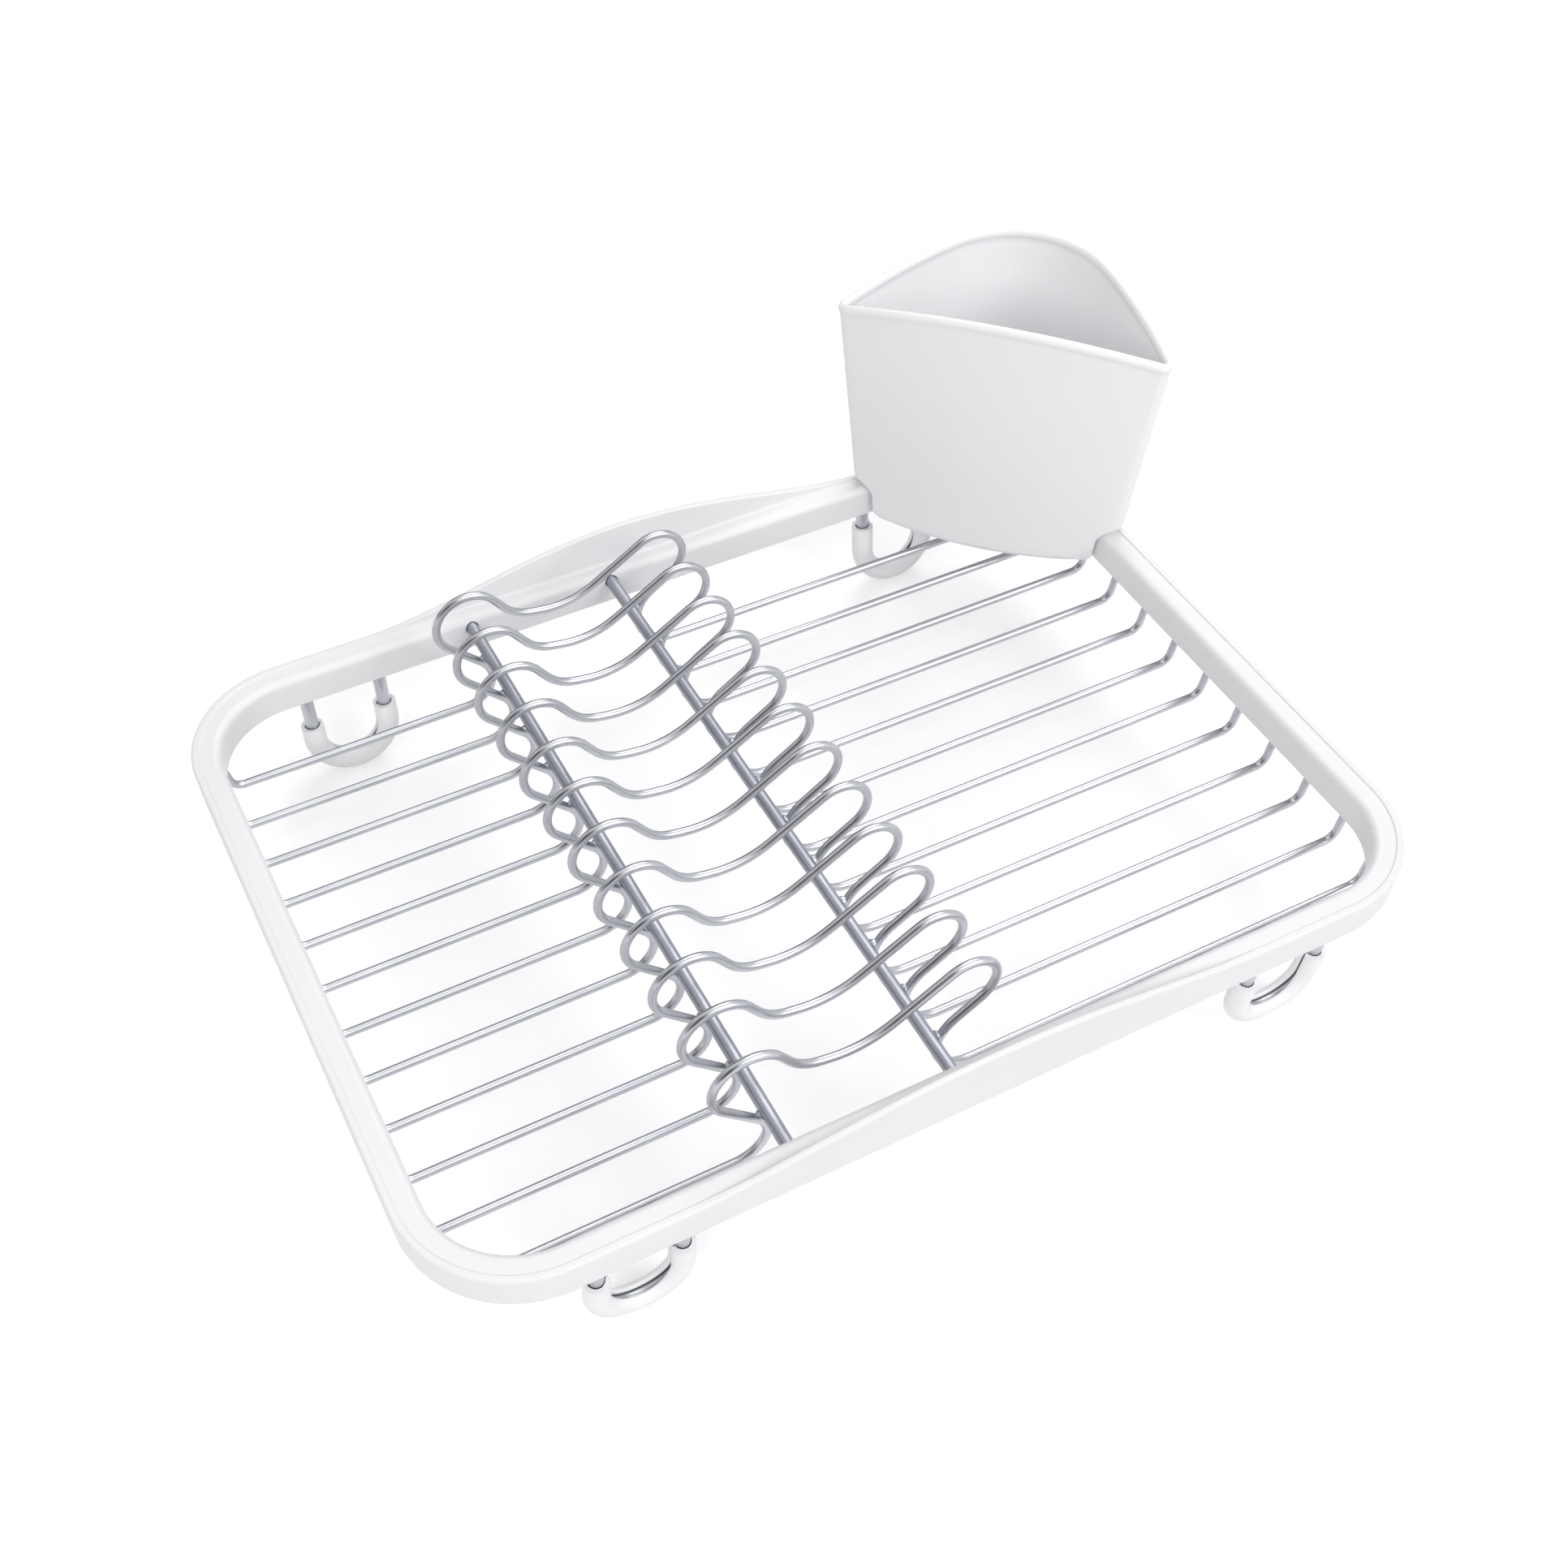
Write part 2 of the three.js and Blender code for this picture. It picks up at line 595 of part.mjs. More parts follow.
// Height of the wall's top edge over a plan point: an arch between the two tips
function cupTopHeight({ x: p, y: q }) {
  const reach = (p - q) / (CUP_TOP_PLAN.tip.along - CUP_TOP_PLAN.tip.inside);
  return CUP_RISE + CUP_ARCH * (1 - reach ** 2);
}

// One ring of the cup's wall, each point at its own height
function cupRing(inset, heightOf) {
  const guide = planOutline(CUP_TOP_PLAN, 0);
  return guide.map((point, i) => {
    const height = heightOf(point);
    return cupPoint(planOutline(cupPlanAt(height), inset)[i], rimTop + height);
  });
}

function cupBody(inset, bottom, heightOf) {
  return toManifold(loft([cupRing(inset, () => bottom), cupRing(inset, heightOf)], false));
}

// Room inside the rim for the lower part, from well below it to well above it: a
// square corner rounded like the rim, which opens into the ledge with a fillet.
function pocketBlock(inset, ledge) {
  const size = CUP_CUTTERS.pocketReach * CUP_FOOT_PLAN.tip.along;
  const outline = (low) => {
    const radius = innerCornerRadius - CUP_SIDE_GAP;
    const points = [new THREE.Vector2(size, low), new THREE.Vector2(size, size), new THREE.Vector2(low, size)];
    for (let k = 0; k <= CORNER_STEPS; k += 1) {
      const angle = Math.PI + ((Math.PI / 2) * k) / CORNER_STEPS;
      points.push(new THREE.Vector2(
        low + radius + radius * Math.cos(angle), low + radius + radius * Math.sin(angle)));
    }
    return points;
  };
  const ring = (low, height) => outline(low).map((point) => cupPoint(point, rimTop + height));
  const fillet = CUP_LEDGE_FILLET + inset;
  const rings = [ring(CUP_SIDE_GAP + inset, -CUP_CUTTERS.pocketDepth * CUP_DROP)];
  for (let k = 0; k <= FILLET_STEPS; k += 1) {
    const angle = (Math.PI / 2) * (k / FILLET_STEPS);
    rings.push(ring(CUP_SIDE_GAP + inset - fillet * (1 - Math.cos(angle)),
      ledge - fillet * (1 - Math.sin(angle))));
  }
  rings.push(ring(CUP_SIDE_GAP + inset - fillet, ledge + CUP_DROP));
  return toManifold(loft(rings, false));
}

// All that lies below the ledge and outside the pocket
function ledgeCutter(inset, ledge) {
  const size = 2 * CUP_CUTTERS.slabReach * CUP_FOOT_PLAN.tip.along;
  const depth = CUP_CUTTERS.slabDepth * CUP_DROP;
  const { x, y } = cupPoint({ x: 0, y: 0 }, 0);
  const slab = new THREE.BoxGeometry(size, size, depth);
  slab.translate(x, y, rimTop + ledge - depth / 2);
  return toManifold(slab).subtract(pocketBlock(inset, ledge));
}

// Rolled bead along the arched top edge
function cupBead() {
  const edge = cupRing(CUP_WALL / 2, cupTopHeight);
  const count = edge.length;
  const rings = edge.map((point, i) => {
    const before = edge[(i + count - 1) % count];
    const after = edge[(i + 1) % count];
    const run = after.clone().sub(before).normalize();
    const out = new THREE.Vector3().crossVectors(run, new THREE.Vector3(0, 0, 1)).normalize();
    const up = new THREE.Vector3().crossVectors(out, run);
    return Array.from({ length: BEAD_SIDES }, (_, k) => {
      const angle = (-Math.PI * (2 * k + 1)) / BEAD_SIDES;
      return point.clone()
        .addScaledVector(out, CUP_BEAD_RADIUS * Math.cos(angle))
        .addScaledVector(up, CUP_BEAD_RADIUS * Math.sin(angle));
    });
  });
  return toManifold(loft(rings, true));
}

function cutleryCup() {
  const ledge = SEAT_GAP + EDGE_ROLL;
  const floor = -CUP_DROP;
  const outer = cupBody(0, floor, cupTopHeight).subtract(ledgeCutter(0, ledge));
  const hollow = cupBody(CUP_WALL, floor + CUP_WALL, (point) => cupTopHeight(point) + CUT_CLEARANCE)
    .subtract(ledgeCutter(CUP_WALL, ledge + CUP_WALL));
  let cup = outer.subtract(hollow).add(cupBead());
  for (let row = 0; row < DRAIN_HOLE_ROWS; row += 1) {
    for (let k = 0; k < DRAIN_HOLE_ROWS - row; k += 1) {
      const plan = { x: DRAIN_HOLE_EDGE + k * DRAIN_HOLE_PITCH, y: DRAIN_HOLE_EDGE + row * DRAIN_HOLE_PITCH };
      const { x, y } = cupPoint(plan, 0);
      cup = cup.subtract(toManifold(post(x, y, DRAIN_HOLE_DIAMETER / 2,
        rimTop + floor - CUT_CLEARANCE, rimTop + floor + CUP_WALL + CUT_CLEARANCE)));
    }
  }
  return toGeometry(cup);
}

// ------------------------------------------------------------------ assembly
const rack = new THREE.Group();

function addPiece(name, geometry, finish) {
  const mesh = new THREE.Mesh(geometry, finish);
  mesh.name = name;
  rack.add(mesh);
}

addPiece('rim_frame', rimFrame(), rimPlastic());

wireRows.forEach((y, i) => {
  const name = `grid_wire_${String(i + 1).padStart(2, '0')}`;
  addPiece(name, sweep(circleShape(wireRadius, WIRE_SIDES), gridWireStations(y)), satinNickel());
});

for (const { name, x } of bars) {
  const reach = innerHalfWidth + BAR_SEAT_DEPTH;
  const z = WIRE_RUN_HEIGHT + BAR_HEIGHT;
  addPiece(name, pin(new THREE.Vector3(x, -reach, z), new THREE.Vector3(x, reach, z), barRadius), satinNickel());
}

for (const foot of feet) {
  addPiece(`foot_wire_${foot.name}`, footWire(foot), satinNickel());
  addPiece(`foot_sleeve_${foot.name}`, footSleeve(foot), sleeveVinyl());
}

addPiece('cutlery_cup', cutleryCup(), cupPlastic());

const middle = new THREE.Box3().setFromObject(rack).getCenter(new THREE.Vector3());
rack.position.set(-middle.x, -middle.y, 0);

export default rack;
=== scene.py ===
"""Looks of a dish drying rack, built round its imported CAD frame.

A moulded white rim carries twelve bent nickel wires, two cross bars and four
wire feet in soft sleeves. A cutlery cup hangs on the back right corner. Sizes
are in millimetres, and become metres when a mesh is made.
"""

import logging
import math
from collections.abc import Sequence
from dataclasses import dataclass
from enum import Enum

import bmesh
import bpy
import numpy as np
from bpy.types import ID, Material, Mesh, Node, NodeOutputs, NodeSocket, NodeTree, Object
from mathutils import Matrix, Vector
from numpy.typing import NDArray


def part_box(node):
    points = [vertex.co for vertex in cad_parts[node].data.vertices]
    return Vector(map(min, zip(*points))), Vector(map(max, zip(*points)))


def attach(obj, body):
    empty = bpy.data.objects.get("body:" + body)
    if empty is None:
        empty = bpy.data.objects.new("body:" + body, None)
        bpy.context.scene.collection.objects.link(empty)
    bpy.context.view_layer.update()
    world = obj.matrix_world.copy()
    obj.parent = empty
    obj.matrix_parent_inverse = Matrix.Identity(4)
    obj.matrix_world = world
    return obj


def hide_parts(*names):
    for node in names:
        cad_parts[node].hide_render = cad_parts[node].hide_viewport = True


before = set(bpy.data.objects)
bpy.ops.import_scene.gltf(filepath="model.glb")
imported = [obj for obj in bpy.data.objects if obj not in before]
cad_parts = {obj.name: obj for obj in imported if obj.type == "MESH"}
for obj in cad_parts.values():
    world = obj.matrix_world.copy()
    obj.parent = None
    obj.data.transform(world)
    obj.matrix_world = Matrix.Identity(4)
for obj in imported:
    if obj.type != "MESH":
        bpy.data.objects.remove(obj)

Array = NDArray[np.float64]
Number = Array | float
Colour = tuple[float, float, float]
Place = tuple[float, float, float]
Inputs = dict[str | int, object]

LOG = logging.getLogger("rack")
MM = 0.001
WIRES = 12
ROD_SIDES = 28
WHITE = (1, 1, 1, 1)
CORNERS = ((1, 1), (-1, 1), (-1, -1), (1, -1))
X_AXIS, Y_AXIS, Z_AXIS = np.eye(3)

# Points nearer than MERGE become one, and faces thinner than SLIVER are dropped.
MERGE = 0.002 * MM
SLIVER = 0.001 * MM

# Edges above so many degrees stay sharp, on most pieces and on thin walls.
SMOOTH = 42
SMOOTH_THIN = 50

# Least lengths, and least angles and overhangs, that anything is divided by.
TINY = 1e-6
LEAST = 1e-3

# A rod's broken end edge: 1 - sin t along the rod, and 1 - cos t inwards.
EASE = np.linspace(math.pi / 2, 0, 4)
EASE_ALONG, EASE_IN = 1 - np.sin(EASE), 1 - np.cos(EASE)


class Body(Enum):
    """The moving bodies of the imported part."""

    RACK = "rack"
    CUP = "cup"


class Slot(Enum):
    """Material slots of the record."""

    RIM = "rim_plastic"
    CUP = "cup_plastic"
    NICKEL = "satin_nickel"
    VINYL = "sleeve_vinyl"


class Turn(Enum):
    """Which way a wire turns, seen with x to the right and z up."""

    LEFT = 1
    RIGHT = -1


class Cut(Enum):
    """How one closed mesh changes another."""

    ADD = "UNION"
    TAKE = "DIFFERENCE"


class Ends(Enum):
    """How a patch closes at its first and last rows."""

    FAN = "a fan about the middle of each"
    STRIP = "a strip of quads across each"
    RING = "one joined to the other"


# ------------------------------------------------------------------ surfaces
def joined(*parts: Number) -> Array:
    """Spreads the parts to one shape, and sets them side by side on a new last axis."""
    return np.stack(np.broadcast_arrays(*parts), axis=-1)


def unit(vectors: Array) -> Array:
    """Vectors over their lengths."""
    return vectors / np.linalg.norm(vectors, axis=-1, keepdims=True)


def spoke(angle: Number) -> Array:
    """Unit vectors (cos angle, sin angle)."""
    return joined(np.cos(angle), np.sin(angle))


def circle(radius: float, sides: int = ROD_SIDES) -> Array:
    """Points evenly round a circle."""
    return radius * spoke(np.arange(sides) * 2 * math.pi / sides)


def edge_run(ring: Array) -> Array:
    """Unit directions along a closed row of points, from each one's neighbours."""
    return unit(np.roll(ring, -1, axis=0) - np.roll(ring, 1, axis=0))


@dataclass
class Patch:
    """A grid of points P(i, j) in millimetres, with rows i along a shape and
    columns j round it. The last column joins the first, and the ends close it."""

    points: Array
    ends: Ends = Ends.FAN

    def faces(self) -> tuple[Array, Array]:
        """Index of every quad, and of every triangle of the end fans.

        Returns:
            Quads of shape (n, 4) and triangles of shape (m, 3), facing outwards.
        """
        rows, count = self.points.shape[:2]
        index = np.arange(rows * count).reshape(rows, count)
        if self.ends is Ends.RING:
            index = np.concatenate([index, index[:1]])
        after = np.roll(index, -1, axis=1)
        quads = joined(index[:-1], after[:-1], after[1:], index[1:]).reshape(-1, 4)
        fans = np.zeros((0, 3), int)
        if self.ends is Ends.STRIP:
            k = np.arange(count // 2 - 1)
            across = (index[0, ::-1], index[-1])
            strips = [joined(row[k], row[k + 1], row[-2 - k], row[-1 - k]) for row in across]
            quads = np.concatenate([quads, *strips])
        elif self.ends is Ends.FAN:
            hub = rows * count
            fans = np.concatenate([joined(hub, after[0], index[0]), joined(hub + 1, index[-1], after[-1])])
        if self.volume(quads, fans) < 0:
            return quads[:, ::-1], fans[:, ::-1]
        return quads, fans

    def vertices(self) -> Array:
        """All points in one list.

        Returns:
            Points of shape (n, 3), with the two fan centres at the end.
        """
        flat = self.points.reshape(-1, 3)
        if self.ends is not Ends.FAN:
            return flat
        return np.concatenate([flat, self.points[[0, -1]].mean(axis=1)])

    def volume(self, quads: Array, fans: Array) -> float:
        """Signed volume: a sixth of the sum of a . (b x c) over the triangles.

        Args:
            quads: Index of the quads.
            fans: Index of the triangles.

        Returns:
            A positive number where the faces point outwards.
        """
        triangles = np.concatenate([quads[:, [0, 1, 2]], quads[:, [0, 2, 3]], fans])
        a, b, c = self.vertices()[triangles.T]
        return float(np.einsum("ij,ij->", a, np.cross(b, c)) / 6)


def link(name: str, data: ID) -> Object:
    """Makes an object of its data and links it to the scene.

    Args:
        name: Name of the object.
        data: Mesh, lamp or camera data.

    Returns:
        The new object, at the origin.
    """
    thing = bpy.data.objects.new(name, data)
    bpy.context.scene.collection.objects.link(thing)
    return thing


def add_mesh(name: str, vertices: Sequence[Sequence[float]], faces: Sequence[Sequence[int]]) -> Object:
    """Makes a mesh object.

    Args:
        name: Name of the mesh and its object.
        vertices: Points in metres.
        faces: Index of each face's corners.

    Returns:
        The new object, at the origin.
    """
    mesh = bpy.data.meshes.new(name)
    mesh.from_pydata(vertices, [], faces)
    return link(name, mesh)


def make_piece(name: str, patches: Sequence[Patch], sharp: float = SMOOTH) -> Object:
    """Builds one mesh object from closed patches.

    Each quad gets a texture coordinate: round the shape in the first direction,
    and metres along it in the second.

    Args:
        name: Name of the piece.
        patches: Closed patches, in millimetres.
        sharp: Angle in degrees above which an edge stays sharp.

    Returns:
        The new object, at the origin, with its place in its mesh.
    """
    vertices, faces, texture, base = [], [], [], 0
    for patch in patches:
        quads, fans = patch.faces()
        count = patch.points.shape[1]
        steps = np.linalg.norm(np.diff(patch.points.mean(axis=1), axis=0), axis=1)
        run = np.concatenate([[0], np.cumsum(steps)]) * MM
        row, column = np.divmod(quads, count)
        wraps = (np.ptp(column, axis=1) > 1)[:, None] & (column == 0)
        turned = (column + count * wraps) / count
        texture += [joined(turned, run[row]).reshape(-1, 2), np.zeros((fans.size, 2))]
        vertices.append(patch.vertices())
        faces += (quads + base).tolist() + (fans + base).tolist()
        base += len(vertices[-1])
    piece = add_mesh(name, np.concatenate(vertices) * MM, faces)
    layer = piece.data.uv_layers.new(name="Run")
    layer.uv.foreach_set("vector", np.concatenate(texture).astype(np.float32).ravel())
    finish_shading(piece.data, sharp)
    return piece


def finish_shading(mesh: Mesh, sharp: float) -> None:
    """Joins doubled points, drops faces without area, and shades smooth.

    Args:
        mesh: The mesh to finish.
        sharp: Angle in degrees above which an edge stays sharp.
    """
    work = bmesh.new()
    work.from_mesh(mesh)
    bmesh.ops.remove_doubles(work, verts=work.verts, dist=MERGE)
    bmesh.ops.dissolve_degenerate(work, dist=SLIVER, edges=work.edges)
    work.to_mesh(mesh)
    work.free()
    mesh.shade_smooth()
    mesh.set_sharp_from_angle(angle=math.radians(sharp))
    mesh.update()


def combine(piece: Object, patches: Sequence[Patch], how: Cut, sharp: float = SMOOTH) -> None:
    """Adds closed patches to a piece, or takes them from it.

    Args:
        piece: The piece to change.
        patches: The closed shapes, in millimetres.
        how: Whether the shapes are added or taken.
        sharp: Angle in degrees above which an edge stays sharp.
    """
    tool = make_piece(f"{piece.name}_tool", patches)
    modifier = piece.modifiers.new("combine", "BOOLEAN")
    modifier.operation = how.value
    modifier.solver = "EXACT"
    modifier.object = tool
    graph = bpy.context.evaluated_depsgraph_get()
    result = bpy.data.meshes.new_from_object(piece.evaluated_get(graph))
    piece.modifiers.clear()
    piece.data, old = result, piece.data
    result.name = piece.name
    for mesh in (old, tool.data):
        bpy.data.meshes.remove(mesh)
    finish_shading(result, sharp)


def carry(profile: Array, path: Array, normal: Array, side: Array, scale: Number = 1) -> Array:
    """Carries a profile along a path.

    The point P(i, j) is path i, plus profile j's first number times normal i, plus
    its second number times side i, both times scale i.

    Args:
        profile: Points of the section, shape (columns, 2), or (rows, columns, 2)
            where the section changes along the path.
        path: Points of the path, shape (rows, 3).
        normal: First direction of the section, one for all rows or one for each.
        side: Second direction of the section, likewise.
        scale: Size of the section, likewise.

    Returns:
        Points of shape (rows, columns, 3).
    """
    sized = profile * np.reshape(scale, (-1, 1, 1))
    normal, side = (np.atleast_2d(way)[:, None] for way in (normal, side))
    return path[:, None] + sized[..., :1] * normal + sized[..., 1:] * side


def end_scales(count: int, share: float) -> Array:
    """Size of a rod's section at each station: 1, and less at the eased ends.

    Args:
        count: How many stations the rod has.
        share: Size of the eased edge over the rod's radius.

    Returns:
        One number for each station.
    """
    scale = np.ones(count)
    shrink = 1 - share * EASE_IN
    scale[:len(shrink)], scale[-len(shrink):] = shrink, shrink[::-1]
    return scale


@dataclass(frozen=True)
class Rounding:
    """Rounds every corner of a row of polygons.

    An arc takes up to max_share of a short side. One more point on each side of
    it, at hold or hold_share of the side, keeps the flats' shading flat.
    """

    steps: int = 5
    max_share: float = 0.42
    hold: float = 0.25
    hold_share: float = 0.05

    def outline(self, corners: Array, radii: Array) -> Array:
        """Replaces every corner by an arc.

        With half angle h and radius r, the arc touches both sides r / tan(h) from
        the corner. Its points are the centre plus the two touching radii, weighted
        by the sines of the angles to the other end over the sine of the whole.

        Args:
            corners: Polygons of shape (rows, corners, 2).
            radii: Radius of each corner.

        Returns:
            Outlines of shape (rows, corners * (steps + 3), 2).
        """
        sides = [np.roll(corners, k, axis=1) - corners for k in (1, -1)]
        lengths = [np.maximum(np.linalg.norm(side, axis=-1), TINY) for side in sides]
        back, ahead = (side / length[..., None] for side, length in zip(sides, lengths))
        room = np.minimum(*lengths)
        half = np.arccos(np.clip((back * ahead).sum(-1), -1, 1)) / 2
        reach = np.minimum(radii / np.tan(np.maximum(half, LEAST)), self.max_share * room)
        hold = reach + np.minimum(self.hold, self.hold_share * room)
        middle = (back + ahead) / np.maximum(np.linalg.norm(back + ahead, axis=-1), TINY)[..., None]

        def spot(way: Array, distance: Array) -> Array:
            """Points at a distance from each corner."""
            return (corners + way * distance[..., None])[:, :, None]

        centre = spot(middle, reach / np.maximum(np.cos(half), TINY))
        swept = np.maximum(math.pi - 2 * half, LEAST)[..., None]
        share = np.linspace(0, 1, self.steps + 1)
        first, last = ((np.sin(part * swept) / np.sin(swept))[..., None] for part in (1 - share, share))
        arc = centre + first * (spot(back, reach) - centre) + last * (spot(ahead, reach) - centre)
        return np.concatenate([spot(back, hold), arc, spot(ahead, hold)], axis=2).reshape(len(corners), -1, 2)


# ---------------------------------------------------------------- bent wires
@dataclass(frozen=True)
class Bend:
    """A round bend: its centre across and up, its radius and its turn."""

    across: float
    up: float
    radius: float
    turn: Turn = Turn.LEFT


@dataclass(frozen=True)
class WirePath:
    """A wire that runs straight from bend to bend, touching each.

    The headings at its two ends are angles from the x axis, in radians, and run is
    the length of the straight beyond the first and the last bend.
    """

    bends: tuple[Bend, ...]
    entry: float
    leave: float
    run: float
    ease: float = 0.4
    step: float = math.radians(5)

    def headings(self) -> list[float]:
        """Heading of every straight run.

        Between two bends it is the angle of the line of centres plus the arcsine of
        the difference of their signed radii over their distance.

        Returns:
            One angle for each run, in order.
        """
        found = [self.entry]
        for a, b in zip(self.bends, self.bends[1:]):
            across, up = b.across - a.across, b.up - a.up
            offset = a.radius * a.turn.value - b.radius * b.turn.value
            found.append(math.atan2(up, across) + math.asin(offset / math.hypot(across, up)))
        return found + [self.leave]

    def line(self) -> tuple[Array, Array]:
        """The wire's middle line.

        On a bend the point is the centre plus radius times turn times
        (sin heading, -cos heading).

        Returns:
            Points (across, up) of shape (n, 2), and the heading at each.
        """
        runs = self.headings()
        points, angles = [], []
        for bend, first, last in zip(self.bends, runs, runs[1:]):
            way = bend.turn.value
            swept = (way * (last - first)) % (2 * math.pi)
            heading = first + way * np.linspace(0, swept, max(2, math.ceil(swept / self.step)) + 1)
            out = bend.radius * way * joined(np.sin(heading), -np.cos(heading))
            points.append([bend.across, bend.up] + out)
            angles.append(heading)
        end = (self.run - self.ease * EASE_ALONG)[:, None]
        lead = points[0][0] - end * spoke(self.entry)
        tail = points[-1][-1] + end[::-1] * spoke(self.leave)
        level = [np.full(len(end), heading) for heading in (self.entry, self.leave)]
        return np.concatenate([lead, *points, tail]), np.concatenate([level[0], *angles, level[1]])

    def tube(self, profile: Array, radius: float, y: float) -> Array:
        """Carries a section along the wire in the plane of the given y.

        Args:
            profile: Section points; the first direction points to the wire's left.
            radius: Radius that the ends are eased from.
            y: Place of the wire's plane.

        Returns:
            Points of shape (rows, columns, 3).
        """
        middle, angle = self.line()
        path = joined(middle[:, 0], y, middle[:, 1])
        normal = joined(-np.sin(angle), 0, np.cos(angle))
        return carry(profile, path, normal, -Y_AXIS, end_scales(len(angle), self.ease / radius))


# ------------------------------------------------------------- node networks
class Graph:
    """Adds and joins nodes in one shader tree."""

    def __init__(self, tree: NodeTree) -> None:
        """Starts with an empty tree."""
        self.tree = tree
        tree.nodes.clear()

    def add(self, kind: str, inputs: Inputs | None = None, **settings: object) -> Node:
        """Adds a node.

        Args:
            kind: Node type without its "ShaderNode" prefix, or a full type name.
            inputs: Value or joined socket for each input, by its name or place.
            settings: Properties of the node.

        Returns:
            The new node.
        """
        node = self.tree.nodes.new(kind if kind.startswith("Node") else f"ShaderNode{kind}")
        for name, value in settings.items():
            setattr(node, name, value)
        for name, value in (inputs or {}).items():
            if isinstance(value, NodeSocket):
                self.tree.links.new(value, node.inputs[name])
            else:
                node.inputs[name].default_value = value
        return node

    def maths(self, operation: str, a: object, b: object = 0.0) -> NodeSocket:
        """A Math node's result."""
        return self.add("Math", {0: a, 1: b}, operation=operation).outputs[0]

    def ranged(self, value: object, *ends: object, **settings: object) -> NodeSocket:
        """A Map Range node's result, between its two or four ends."""
        return self.add("MapRange", dict(enumerate((value, *ends))), **settings).outputs[0]

    def noise(self, place: object, scale: object, detail: float, **inputs: object) -> NodeSocket:
        """A Noise Texture node's value."""
        return self.add("TexNoise", {"Vector": place, "Scale": scale, "Detail": detail, **inputs}).outputs[0]

    def place(self) -> NodeSocket:
        """The object's own coordinates."""
        return self.add("TexCoord").outputs["Object"]

    def use(self, effect: NodeTree, inputs: Inputs) -> Node:
        """Places a shared effect with its own values."""
        values = {name: (*value, 1) if isinstance(value, tuple) else value for name, value in inputs.items()}
        return self.add("Group", values, node_tree=effect)

    def white(self, kind: str, strength: object) -> NodeSocket:
        """White light of an Emission or Background node."""
        return self.add(kind, {"Color": WHITE, "Strength": strength}).outputs[0]


def new_material(name: str) -> Graph:
    """Starts a material.

    Args:
        name: Name of the material.

    Returns:
        Its empty graph.
    """
    material = bpy.data.materials.new(name)
    material.use_nodes = True
    return Graph(material.node_tree)


def new_effect(name: str, inputs: Inputs, outputs: dict[str, str]) -> tuple[Graph, NodeOutputs]:
    """Starts a shader node group with named inputs and outputs.

    Args:
        name: Name of the group.
        inputs: Each input and its starting value; a tuple makes a colour.
        outputs: Each output and its kind, "Float" or "Color".

    Returns:
        The group's graph, and the sockets of its inputs.
    """
    tree = bpy.data.node_groups.new(name, "ShaderNodeTree")
    for label, value in inputs.items():
        kind = "Color" if isinstance(value, tuple) else "Float"
        socket = tree.interface.new_socket(label, in_out="INPUT", socket_type=f"NodeSocket{kind}")
        socket.default_value = (*value, 1) if isinstance(value, tuple) else value
    for label, kind in outputs.items():
        tree.interface.new_socket(label, in_out="OUTPUT", socket_type=f"NodeSocket{kind}")
    graph = Graph(tree)
    return graph, graph.add("NodeGroupInput").outputs


